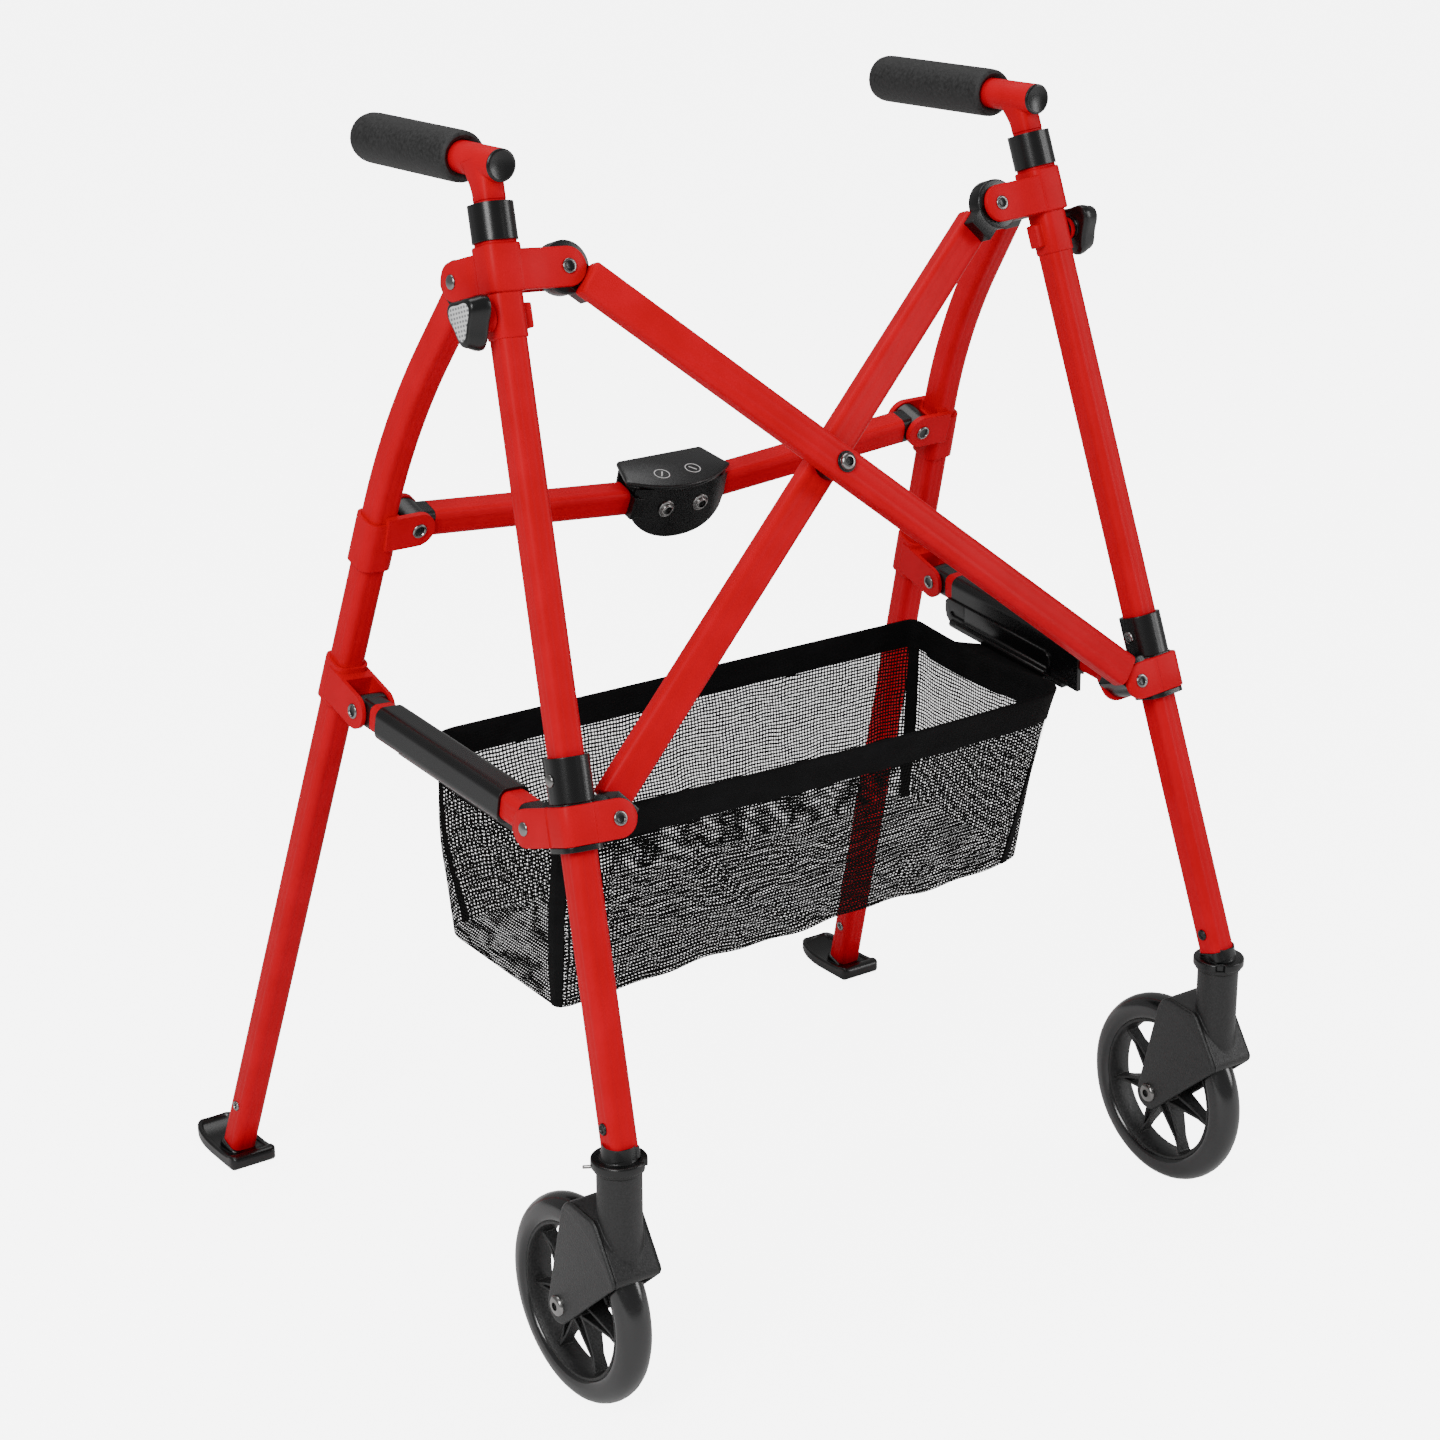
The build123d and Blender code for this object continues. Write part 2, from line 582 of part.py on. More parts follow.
def housing_bolts():
    """Button-head bolts with washers, ending in the front wall and the right eye plate."""
    bolts = []
    for x, inner in ((-15.5, 12.4), (15.5, 17.2)):
        shank = Pos(0, 0, (inner + 19.7) / 2) * Cylinder(PIN_R, 19.7 - inner)
        washer = Pos(0, 0, 20.3) * Cylinder(8.2, 1.2)
        head = Pos(0, 0, 20.9) * rivet_head(5.6, 3.2, 2.2)
        bolts.append(housing_plane().location * (Pos(x, 0, 0) * (shank + washer + head)))
    return bolts


# ---- caster ------------------------------------------------------------------------------------------
def fork():
    """Swivelling fork: stem, crown over the wheel and two side plates down to the axle."""
    x, y = SWIVEL
    wx, wy, wz = WHEEL_C
    stem = Pos(x, y, 156) * Cylinder(15.5, 80)
    stem += Pos(x, y, 193) * Cylinder(16.6, 6)
    with BuildSketch(Plane.YZ) as side:
        with BuildLine():
            Polyline((y - 12, 150), (y - 21, 128), (y - 21, 119), (y - 14, 116), (wy - 8, wz - 16))
            ThreePointArc((wy - 8, wz - 16), (wy + 10, wz - 14), (wy + 16, wz + 2))
            Polyline((wy + 16, wz + 2), (y + 38, 152), (y + 28, 163), (y - 4, 163), (y - 12, 150))
        make_face()
    plates = Pos(wx, 0, 0) * extrude(side.sketch, 19.5, both=True)
    gap = Pos(wx, wy, wz) * Rot(0, 90, 0) * Cylinder(WHEEL_R + 3.5, 31)
    gap += block(wx - 15.5, wx + 15.5, wy - 78, wy + 60, 40, wz + 40)
    body = stem + plates - gap
    body -= Pos(x, y, 181.5) * Cylinder(6.0 + FIT, 43)
    body -= x_cyl(4.0, wx - 30, wx + 30, wy, wz)
    return body


def wheel():
    """Rim, hub and pairs of ribs that meet at the rim."""
    wx, wy, wz = WHEEL_C
    rim = x_cyl(RIM_R, -10, 10) - x_cyl(RIM_R - 5.0, -11, 11)
    core = x_cyl(12, -14.8, 14.8)
    spokes = Part()
    for n in range(SPOKE_PAIRS):
        for lean_deg in (-8, 8):
            rib = Pos(0, 0, RIM_R - 4.5) * Rot(lean_deg, 0, 0) * block(-6.5, 6.5, -1.2, 1.2, -43, 0)
            spokes += Rot(360 / SPOKE_PAIRS * n, 0, 0) * rib
    return Pos(wx, wy, wz) * (rim + core + spokes - x_cyl(4.0 + FIT, -20, 20))


def tyre():
    wx, wy, wz = WHEEL_C
    body = x_cyl(WHEEL_R, -TYRE_W / 2, TYRE_W / 2) - x_cyl(RIM_R, -20, 20)
    circles = body.edges().filter_by(GeomType.CIRCLE)
    body = fillet(circles.filter_by(lambda e: e.radius > 70), 11.0)
    return Pos(wx, wy, wz) * body


def axle_bolt():
    wx, wy, wz = WHEEL_C
    return Pos(wx, wy, wz) * Rot(0, 90, 0) * pin_z(4.0, 19.5, 8.0, 3.6, 2.6)


# ---- basket ------------------------------------------------------------------------------------------
def basket():
    """Open fabric basket, thin walls, wider at the rim."""
    outer = loft([basket_plan(-236, 222, 118, 318, 402), basket_plan(-232, 200, 134, 302, 252)])
    inner = loft([basket_plan(-234, 220, 120, 316, 404), basket_plan(-230, 198, 136, 300, 254)])
    return outer - inner


def basket_plan(x0, x1, y0, y1, z):
    """Rounded rectangle at height z; the basket hangs a little towards the right-hand rail."""
    return Pos((x0 + x1) / 2, (y0 + y1) / 2, z) * RectangleRounded(x1 - x0, y1 - y0, 24)


# ---- write every node ----------------------------------------------------------------------------------
def write(name, shapes):
    if not isinstance(shapes, (list, tuple)):
        shapes = [shapes]
    solids = []
    for shape in shapes:
        solids += shape.solids()
    solids = [Pos(0, -ORIGIN_Y, 0) * solid for solid in solids]
    whole = solids[0] if len(solids) == 1 else Compound(children=solids)
    export_step(whole, f"parts/{name}.step")


RIGHT_PARTS = {
    "front_leg": front_leg,
    "hub": hub,
    "leg_sleeves": leg_sleeves,
    "leg_plug": leg_plug,
    "leg_pins": leg_pins,
    "handle_tube": handle_tube,
    "grip": grip,
    "handle_plug": handle_plug,
    "knob": knob,
    "collar": collar,
    "collar_bushing": collar_bushing,
    "collar_pins": collar_pins,
    "rear_leg": rear_leg,
    "rear_leg_cap": rear_leg_cap,
    "rear_brackets": rear_brackets,
    "rear_pins": rear_pins,
    "foot": foot,
    "link_tube": link_tube,
    "link_inserts": link_inserts,
    "hanger_rail": hanger_rail,
    "cross_tube": cross_tube,
    "fork": fork,
    "axle_bolt": axle_bolt,
    "wheel": wheel,
    "tyre": tyre,
}


def main():
    os.makedirs("parts", exist_ok=True)
    for name, build in RIGHT_PARTS.items():
        shapes = build()
        if not isinstance(shapes, (list, tuple)):
            shapes = [shapes]
        write(f"right_{name}", shapes)
        write(f"left_{name}", [mirror_left(s) for s in shapes])
    write("right_cross_plugs", cross_plugs(1))
    write("left_cross_plugs", [mirror_left(s) for s in cross_plugs(-1)])
    bar, inserts = front_brace()
    write("front_brace_bar", bar)
    write("front_brace_inserts", inserts)
    bar, inserts = rear_brace()
    write("rear_brace_bar", bar)
    write("rear_brace_inserts", inserts)
    write("brace_bolt", brace_bolt())
    write("housing", housing())
    write("housing_bolts", housing_bolts())
    write("basket", basket())


main()
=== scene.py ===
"""Red folding rollator walker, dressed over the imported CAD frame.

The row frame is in metres, +Z up, the front of the walker faces -Y.
"right" is the user's right, x < 0. Right-hand pieces are built first and mirrored for the left.
"""

import json
import math
import random

import bmesh
import bpy
from mathutils import Matrix, Vector

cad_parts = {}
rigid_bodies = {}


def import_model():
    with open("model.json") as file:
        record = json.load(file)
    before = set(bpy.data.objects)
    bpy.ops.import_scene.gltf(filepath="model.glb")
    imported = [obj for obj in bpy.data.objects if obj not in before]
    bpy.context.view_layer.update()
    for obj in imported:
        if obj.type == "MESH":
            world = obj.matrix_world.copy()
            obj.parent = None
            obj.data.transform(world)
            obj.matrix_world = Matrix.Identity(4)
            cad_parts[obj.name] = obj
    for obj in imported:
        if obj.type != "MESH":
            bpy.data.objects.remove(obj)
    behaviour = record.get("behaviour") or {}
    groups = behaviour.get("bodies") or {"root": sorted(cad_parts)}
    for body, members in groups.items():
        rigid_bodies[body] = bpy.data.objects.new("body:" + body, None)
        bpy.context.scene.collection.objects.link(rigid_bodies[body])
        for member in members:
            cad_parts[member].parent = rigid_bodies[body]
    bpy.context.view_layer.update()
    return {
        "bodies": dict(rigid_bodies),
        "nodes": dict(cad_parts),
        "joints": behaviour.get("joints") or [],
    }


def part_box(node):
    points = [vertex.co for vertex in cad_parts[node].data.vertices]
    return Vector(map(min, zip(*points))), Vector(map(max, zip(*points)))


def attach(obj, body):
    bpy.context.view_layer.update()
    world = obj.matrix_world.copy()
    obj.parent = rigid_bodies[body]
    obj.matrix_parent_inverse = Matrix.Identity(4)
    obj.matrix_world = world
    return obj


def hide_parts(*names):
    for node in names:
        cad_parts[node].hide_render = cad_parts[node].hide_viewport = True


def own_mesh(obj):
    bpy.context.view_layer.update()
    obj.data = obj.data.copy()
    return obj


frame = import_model()
JOINTS = {j["name"]: j for j in frame["joints"]}
MM = 0.001


def joint_pos(name):
    return Vector(JOINTS[name]["pos_m"])


def joint_axis(name):
    return Vector(JOINTS[name]["axis"]).normalized()


# ---- local frames, in millimetres, for the right-hand side ----
def local_frame(origin, x_hint, z_axis):
    """Matrix from local millimetres to the row frame, local Z along z_axis."""
    z = Vector(z_axis).normalized()
    x = Vector(x_hint)
    x = (x - z * x.dot(z)).normalized()
    y = z.cross(x)
    turn = Matrix((x, y, z)).transposed().to_4x4()
    return Matrix.Translation(origin) @ turn @ Matrix.Scale(MM, 4)


LEG_UP = joint_axis("right_handle_height")
FRONT_X = joint_axis("right_knob_turn")
SIDE_X = joint_axis("right_rear_leg_fold")
BRACE_N = -joint_axis("fold")
HUB_PIN = joint_pos("fold")
COLLAR_PIN = joint_pos("right_brace_collar")
SIDE_PIN = joint_pos("right_side_bar_fold")
CROSS_PIN = joint_pos("right_cross_bar_lift")
CENTRE_PIN = joint_pos("housing_level")
CROSS_N = joint_axis("right_cross_bar_lift")
BRACE_TOP_ARM, BRACE_LOW_ARM = 47.5, 25.5    # leg axis to the brace's hub pin and collar pin
REAR_PIVOT, LINK_PIVOT = 37.4, 36.5          # leg axis back to the rear leg's and side bar's pins
HUB = HUB_PIN - FRONT_X * BRACE_TOP_ARM * MM
WHEEL = joint_pos("right_wheel_spin")
SWIVEL = joint_pos("right_caster_swivel")
COLLAR_AT = -365.0                           # heights along the leg from the hub pins
KNOB_AT = -29.0
LEG_BOTTOM = -582.0
COLLAR_SHIFT = -1.2                          # the collar hangs off centre by half its side play
REAR_TURN = 93.3                             # from the brace ears round to the rear ears, degrees
WHEEL_HEIGHT = WHEEL.z / MM
FRONT = local_frame(HUB, FRONT_X, LEG_UP)
SIDE = local_frame(HUB, SIDE_X, LEG_UP)
COLLAR_PIVOT = SIDE @ Vector((0, LINK_PIVOT, COLLAR_AT))
CASTER = Matrix.Translation((SWIVEL.x, SWIVEL.y, 0)) @ Matrix.Scale(MM, 4)

# The rear leg's lower run, straight from its bend to the foot, in the side frame.
REAR_BEND = Vector((0, 149.9, -83.2))
REAR_SLOPE = math.radians(36.315)
REAR_DOWN = Vector((0, math.sin(REAR_SLOPE), -math.cos(REAR_SLOPE)))
REAR_RUN = 657

# Turns that put an outline's axes on other local axes: (across, up, out).
LENGTHWISE = Matrix(((0, 0, 1, 0), (0, 1, 0, 0), (1, 0, 0, 0), (0, 0, 0, 1)))
SIDEWAYS = Matrix(((0, 0, 1, 0), (1, 0, 0, 0), (0, 1, 0, 0), (0, 0, 0, 1)))
CROSSWAYS = Matrix(((1, 0, 0, 0), (0, 0, -1, 0), (0, 1, 0, 0), (0, 0, 0, 1)))
LIDWISE = Matrix(((1, 0, 0, 0), (0, 0, 1, 0), (0, -1, 0, 0), (0, 0, 0, 1)))


def toward(origin, direction, hint=(0, 0, 1)):
    return local_frame(origin, hint, direction)


def turned(place, degrees, axis="Z"):
    return place @ Matrix.Rotation(math.radians(degrees), 4, axis)


def moved(place, x=0.0, y=0.0, z=0.0):
    return place @ Matrix.Translation((x, y, z))


# ---- materials ----
class Nodes:
    """Short names for building a node tree."""

    def __init__(self, name):
        self.mat = bpy.data.materials.new(name)
        self.mat.use_nodes = True
        self.tree = self.mat.node_tree
        self.tree.nodes.clear()

    def add(self, kind, **inputs):
        """New node; inputs are its sockets by name, with _ for a space."""
        node = self.tree.nodes.new(kind)
        for key, value in inputs.items():
            self.put(node, key.replace("_", " "), value)
        return node

    def put(self, node, key, value):
        socket = node.inputs[int(key)] if key.isdigit() else node.inputs[key]
        if isinstance(value, bpy.types.NodeSocket):
            self.tree.links.new(value, socket)
        else:
            socket.default_value = value

    def math(self, op, a, b=0.0):
        node = self.add("ShaderNodeMath")
        node.operation = op
        self.put(node, "0", a)
        self.put(node, "1", b)
        return node.outputs[0]

    def noise(self, coords, scale, detail=2.0, rough=0.5):
        node = self.add("ShaderNodeTexNoise", Vector=coords, Scale=scale, Detail=detail, Roughness=rough)
        return node.outputs["Fac"]

    def ramp(self, value, low, high):
        node = self.add("ShaderNodeMapRange", Value=value, From_Min=0.3, From_Max=0.7, To_Min=low,
                        To_Max=high)
        return node.outputs[0]

    def blend(self, factor, a, b):
        node = self.tree.nodes.new("ShaderNodeMix")
        node.data_type = "RGBA"
        self.put(node, "0", factor)
        for index, value in ((6, a), (7, b)):
            if isinstance(value, bpy.types.NodeSocket):
                self.tree.links.new(value, node.inputs[index])
            else:
                node.inputs[index].default_value = (*value, 1.0)
        return node.outputs[2]

    def uv_axes(self):
        uv = self.add("ShaderNodeTexCoord").outputs["UV"]
        return uv, self.add("ShaderNodeSeparateXYZ", Vector=uv).outputs

    def cells(self, coord, pitch, shift=0.0):
        """Distance from the middle of a repeating cell: 0 in the middle, 1 at its edges."""
        part = self.math("FRACT", self.math("ADD", self.math("DIVIDE", coord, pitch), shift))
        return self.math("MULTIPLY", self.math("ABSOLUTE", self.math("SUBTRACT", part, 0.5)), 2.0)

    def finish(self, **inputs):
        """Puts a shader with these inputs on the output and returns the material."""
        shader = self.add("ShaderNodeBsdfPrincipled", **inputs)
        self.add("ShaderNodeOutputMaterial", Surface=shader.outputs[0])
        return self.mat


def surface(name, dark, light, rough, grain, depth, metal=0.0, edge=1.0, gloss=0.5, speckle=False):
    """A finish with patchy or speckled colour, a fine grain and softened edges.

    rough is (low, high); grain is the noise scale per metre; depth is its bump strength.
    """
    n = Nodes(name)
    coords = n.add("ShaderNodeTexCoord").outputs["Object"]
    cloud = n.noise(coords, 35.0, 3.0)
    fine = n.noise(coords, grain, 2.0, 0.6)
    colour = n.blend(n.ramp(fine if speckle else cloud, 0.0, 1.0), dark, light)
    bevel = n.add("ShaderNodeBevel", Radius=edge * MM)
    bevel.samples = 4
    bump = n.add("ShaderNodeBump", Height=fine, Normal=bevel.outputs[0], Strength=depth, Distance=0.0005)
    return n.finish(Base_Color=colour, Metallic=metal, Roughness=n.ramp(fine, *rough),
                    Specular_IOR_Level=gloss, Normal=bump.outputs[0])


def mesh_fabric():
    """Knitted net: rows of square holes on a grid of the UV map, which is in millimetres."""
    n = Nodes("mesh_fabric")
    uv, split = n.uv_axes()
    wobble = n.noise(uv, 0.035, 1.0)
    thick = n.noise(uv, 0.30, 2.0)
    edges = []
    for axis, pitch, half in ((0, 3.0, 0.58), (1, 2.8, 0.50)):
        away = n.cells(split[axis], pitch, n.math("MULTIPLY", wobble, 1.5))
        edges.append(n.math("DIVIDE", away, n.math("MULTIPLY", n.ramp(thick, 0.8, 1.2), half)))
    thread = n.math("GREATER_THAN", n.math("MAXIMUM", edges[0], edges[1]), 1.0)
    strand = n.math("MULTIPLY", n.math("MINIMUM", edges[0], edges[1]), 0.5)
    colour = n.blend(strand, (0.004, 0.004, 0.004), (0.012, 0.012, 0.012))
    return n.finish(Base_Color=colour, Roughness=0.95, Specular_IOR_Level=0.04, Alpha=thread)


def webbing():
    """Woven binding tape: fine ribs across a matt black band."""
    n = Nodes("webbing")
    uv, split = n.uv_axes()
    rib = n.math("SINE", n.math("MULTIPLY", split[0], 4.2))
    pick = n.math("SINE", n.math("MULTIPLY", split[1], 5.5))
    weave = n.math("MULTIPLY", rib, pick)
    cloud = n.noise(uv, 0.08, 3.0)
    colour = n.blend(n.ramp(cloud, 0.0, 1.0), (0.0015, 0.0015, 0.0017), (0.004, 0.004, 0.0045))
    bump = n.add("ShaderNodeBump", Height=weave, Strength=0.5, Distance=0.0004)
    return n.finish(Base_Color=colour, Roughness=0.75, Specular_IOR_Level=0.12, Normal=bump.outputs[0])


def pad_material():
    """Pale grip pad of the knob with rows of short raised dashes."""
    n = Nodes("knob_pad")
    uv, split = n.uv_axes()
    marks = []
    for axis, pitch, half in ((0, 3.6, 0.62), (1, 3.0, 0.5)):
        marks.append(n.math("LESS_THAN", n.cells(split[axis], pitch), half))
    dash = n.math("MULTIPLY", marks[0], marks[1])
    colour = n.blend(dash, (0.70, 0.70, 0.70), (0.22, 0.22, 0.23))
    bump = n.add("ShaderNodeBump", Height=dash, Strength=0.6, Distance=0.0003)
    return n.finish(Base_Color=colour, Roughness=0.5, Normal=bump.outputs[0])


RED = surface("red_paint", (0.56, 0.0, 0.009), (0.63, 0.0, 0.012), (0.32, 0.40), 900, 0.04, gloss=0.06)
BLACK = surface("black_plastic", (0.002, 0.002, 0.0022), (0.004, 0.004, 0.0044), (0.22, 0.32), 1500, 0.08)
GREY = surface("grey_plastic", (0.003, 0.003, 0.003), (0.019, 0.019, 0.0195), (0.36, 0.52), 900, 0.7,
               speckle=True)
STEEL = surface("steel", (0.20, 0.195, 0.19), (0.36, 0.355, 0.35), (0.16, 0.28), 1200, 0.08,
                metal=1.0, edge=0.4)
FOAM = surface("foam", (0.003, 0.003, 0.003), (0.026, 0.026, 0.0265), (0.55, 0.75), 420, 1.0, edge=0.5,
               speckle=True)
TYRE = surface("tyre", (0.003, 0.003, 0.0033), (0.006, 0.006, 0.0064), (0.16, 0.24), 500, 0.05,
               edge=0.8, gloss=0.8)
NET = mesh_fabric()
TAPE = webbing()
PAD = pad_material()


def paint_cad_nodes():
    """Finishes the CAD nodes; the ones that stay in sight are red brackets and black plastic parts."""
    for name, node in frame["nodes"].items():
        node.data.materials.clear()
        node.data.materials.append(RED if name.endswith("brackets") else BLACK)


paint_cad_nodes()


# ---- mesh building ----
class Build:
    """Collects one piece's surfaces, given in local millimetres and a frame matrix."""

    def __init__(self):
        self.bm = bmesh.new()
        self.uv = self.bm.loops.layers.uv.new("UVMap")
        self.mats = []

    def slot(self, mat):
        """The material's place on the piece."""
        if mat not in self.mats:
            self.mats.append(mat)
        return self.mats.index(mat)

    def grid(self, rings, mat, place=None, closed=False, caps=(), uvs=None):
        """Joins equal-length rings of points with quads; caps holds 0 and -1 for filled ends."""
        place = place or Matrix.Scale(MM, 4)
        index = self.slot(mat)
        rows = [[self.bm.verts.new(place @ Vector(p)) for p in ring] for ring in rings]
        count = len(rows[0])
        for i in range(len(rows) - 1):
            for j in range(count if closed else count - 1):
                k = (j + 1) % count
                face = self.bm.faces.new((rows[i][j], rows[i][k], rows[i + 1][k], rows[i + 1][j]))
                face.material_index = index
                if uvs:
                    corner = ((i, j), (i, j + 1), (i + 1, j + 1), (i + 1, j))
                    for loop, (a, b) in zip(face.loops, corner):
                        loop[self.uv].uv = uvs(a, b)
        for end in caps:
            face = self.bm.faces.new(rows[end])
            face.material_index = index

    def lathe(self, outline, mat, place, steps=40, caps=()):
        """Turns (radius, height) points about local Z."""
        steps = steps
        rings = [[(x, y, height) for x, y in disc(radius, steps)] for radius, height in outline]
        self.grid(rings, mat, place, closed=True, caps=caps)

    def prism(self, outline, z0, z1, mat, place, round_off=0.0, segments=3):
        """Extrudes a 2D outline along local Z, with rounded top and bottom edges."""
        edge = [(0.0, 0.0)]
        if round_off:
            angles = [math.pi / 2 * n / segments for n in range(segments + 1)]
            edge = [(round_off * (1 - math.sin(a)), round_off * (1 - math.cos(a))) for a in angles]
        rings = [(inset, z0 + back) for inset, back in edge]
        rings += [(inset, z1 - back) for inset, back in reversed(edge)]
        self.grid(inset_rings(outline, rings), mat, place, closed=True, caps=(0, -1))

    def sharpen(self, degrees):
        bmesh.ops.recalc_face_normals(self.bm, faces=self.bm.faces)
        limit = math.radians(degrees)
        for edge in self.bm.edges:
            edge.smooth = len(edge.link_faces) == 2 and edge.calc_face_angle(0.0) < limit
        for face in self.bm.faces:
            face.smooth = True

    def write(self, name, body, stands_for=(), mirrored=False):
        """Makes the object, riding its body and standing for CAD nodes."""
        bm = self.bm.copy()
        if mirrored:
            bmesh.ops.scale(bm, vec=(-1, 1, 1), verts=bm.verts)
            bmesh.ops.reverse_faces(bm, faces=bm.faces)
        mesh = bpy.data.meshes.new(name)
        bm.to_mesh(mesh)
        bm.free()
        for mat in self.mats:
            mesh.materials.append(mat)
        obj = bpy.data.objects.new(name, mesh)
        bpy.context.scene.collection.objects.link(obj)
        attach(obj, body)
        if stands_for:
            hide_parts(*stands_for)
        return obj

    def both(self, piece, body, stands_for=(), sharp=38.0):
        """Writes the right-hand piece and its mirror image."""
        self.sharpen(sharp)
        for side in ("right", "left"):
            nodes = [f"{side}_{node}" for node in stands_for]
            self.write(f"{side}_{piece}", f"{side}_{body}", nodes, side == "left")

    def single(self, piece, body, stands_for=(), sharp=38.0):
        self.sharpen(sharp)
        return self.write(piece, body, stands_for)


def shrink(outline, inset):
    """Moves every point of a closed outline inwards by inset."""
    if not inset:
        return list(outline)
    count = len(outline)
    area = 0.0
    for i in range(count):
        x0, y0 = outline[i]
        x1, y1 = outline[(i + 1) % count]
        area += x0 * y1 - x1 * y0
    turn = 1.0 if area > 0 else -1.0
    points = []
    for i in range(count):
        before = Vector(outline[i]) - Vector(outline[i - 1])
        after = Vector(outline[(i + 1) % count]) - Vector(outline[i])
        before.normalize()
        after.normalize()
        normal = Vector((-before.y - after.y, before.x + after.x)) * turn
        if normal.length < 1e-6:
            normal = Vector((-after.y, after.x)) * turn
        normal.normalize()
        side = Vector((-after.y, after.x)) * turn
        reach = inset / max(0.5, normal.dot(side))
        points.append((outline[i][0] + normal.x * reach, outline[i][1] + normal.y * reach))
    return points


def inset_rings(outline, rings):
    """The outline moved in and up by each (inset, height)."""
    return [[(x, y, z) for x, y in shrink(outline, inset)] for inset, z in rings]


def rounded_rect(width, depth, radius, steps=6):
    points = []
    for n, (sx, sy) in enumerate(((1, 1), (-1, 1), (-1, -1), (1, -1))):
        for k in range(steps + 1):
            angle = math.pi / 2 * (n + k / steps)
            x = sx * (width / 2 - radius) + radius * math.cos(angle)
            y = sy * (depth / 2 - radius) + radius * math.sin(angle)
            points.append((x, y))
    return points


def creased(width, depth, radius):
    """Rounded rectangle with two shallow grooves along every face."""
    per = 6
    corners = rounded_rect(width, depth, radius, per - 1)
    points = []
    for n in range(4):
        points += corners[n * per:(n + 1) * per]
        a = Vector(corners[(n + 1) * per - 1])
        b = Vector(corners[((n + 1) * per) % len(corners)])
        run = (b - a).normalized()
        inward = Vector((-run.y, run.x))
        middle, half = (a + b) / 2, (b - a).length * 0.24 + 0.6
        for centre in (-half, half):
            for offset, dip in ((-0.9, 0.0), (0.0, 0.16), (0.9, 0.0)):
                p = middle + run * (centre + offset) + inward * dip
                points.append((p.x, p.y))
    return points


def disc(radius, steps=32, cx=0.0, cy=0.0, tall=1.0):
    angles = [math.tau * n / steps for n in range(steps)]
    return [(cx + radius * math.cos(a), cy + radius * tall * math.sin(a)) for a in angles]


def path_rings(points, profile):
    """Profile carried along 3D points in a plane across X; its first axis stays on X."""
    rings = []
    x = Vector((1, 0, 0))
    for i, point in enumerate(points):
        run = points[min(i + 1, len(points) - 1)] - points[max(i - 1, 0)]
        y = run.cross(x).normalized()
        rings.append([point + x * a + y * b for a, b in profile])
    return rings


def arc_points(a, corner, b, radius, steps=14):
    """Straight, arc, straight from a to b round a corner, all in one plane."""
    u, v = (a - corner).normalized(), (b - corner).normalized()
    half = u.angle(v) / 2
    cut = radius / math.tan(half)
    start, end = corner + u * cut, corner + v * cut
    centre = corner + (u + v).normalized() * (radius / math.sin(half))
    arc = [centre + (start.lerp(end, n / steps) - centre).normalized() * radius for n in range(steps + 1)]
    return [a] + arc + [b]


# ---- fasteners ----
def eyelet(build, place, radius=5.2, mat=STEEL):
    """Flanged ring with a dark bore, standing on local Z = 0."""
    build.lathe([(radius, 0.0), (radius, 0.7), (radius - 0.6, 1.3), (radius - 1.5, 1.3), (radius - 2.0, 0.5)],
                mat, place)
    build.lathe([(radius - 1.9, 0.55), (radius - 2.4, 0.2), (0.4, 0.15)], BLACK, place, caps=(-1,))


def dome(build, place, radius, height):
    """Domed rivet head, standing on local Z = 0."""
    outline = [(radius, 0.0)]
    for n in range(6):
        angle = math.pi / 2 * n / 6
        outline.append((radius * math.cos(angle), 0.4 + height * math.sin(angle)))
    outline.append((0.4, 0.4 + height))
    build.lathe(outline, STEEL, place, caps=(-1,))


def socket_head(build, place, base, radius=5.6, height=3.0, bore=2.4):
    """Button head with a hexagon recess."""
    build.lathe([(radius, base), (radius, base + 0.8), (radius * 0.92, base + height * 0.75),
                 (radius * 0.7, base + height), (bore + 0.4, base + height)], STEEL, place)
    top = [(x, y, base + height) for x, y in disc(bore + 0.4, 6)]
    floor = [(x, y, base + height - 1.6) for x, y in disc(bore, 6)]
    build.grid([top, floor], BLACK, place, closed=True, caps=(-1,))


# ---- tubes ----
def straight_tube(place, profile, z0, z1):
    """Open tube with its wall showing at both ends."""
    build = Build()
    rings = inset_rings(profile, ((WALL, z0), (0, z0), (0, z1), (WALL, z1)))
    build.grid(rings, RED, place, closed=True)
    return build


WALL = 1.35
SQUARE = creased(21, 21, 5.5)
straight_tube(FRONT, SQUARE, LEG_BOTTOM, 41).both("leg_tube", "leg", ["front_leg"])

link_dir = SIDE_PIN - COLLAR_PIVOT
LINK = local_frame(COLLAR_PIVOT, SIDE_X, link_dir)
LINK_LEN = link_dir.length / MM
straight_tube(LINK, SQUARE, 17, LINK_LEN - 17).both("side_bar_tube", "side_bar", ["link_tube"])


RAIL_START, RAIL_END = 70, LINK_LEN - 22


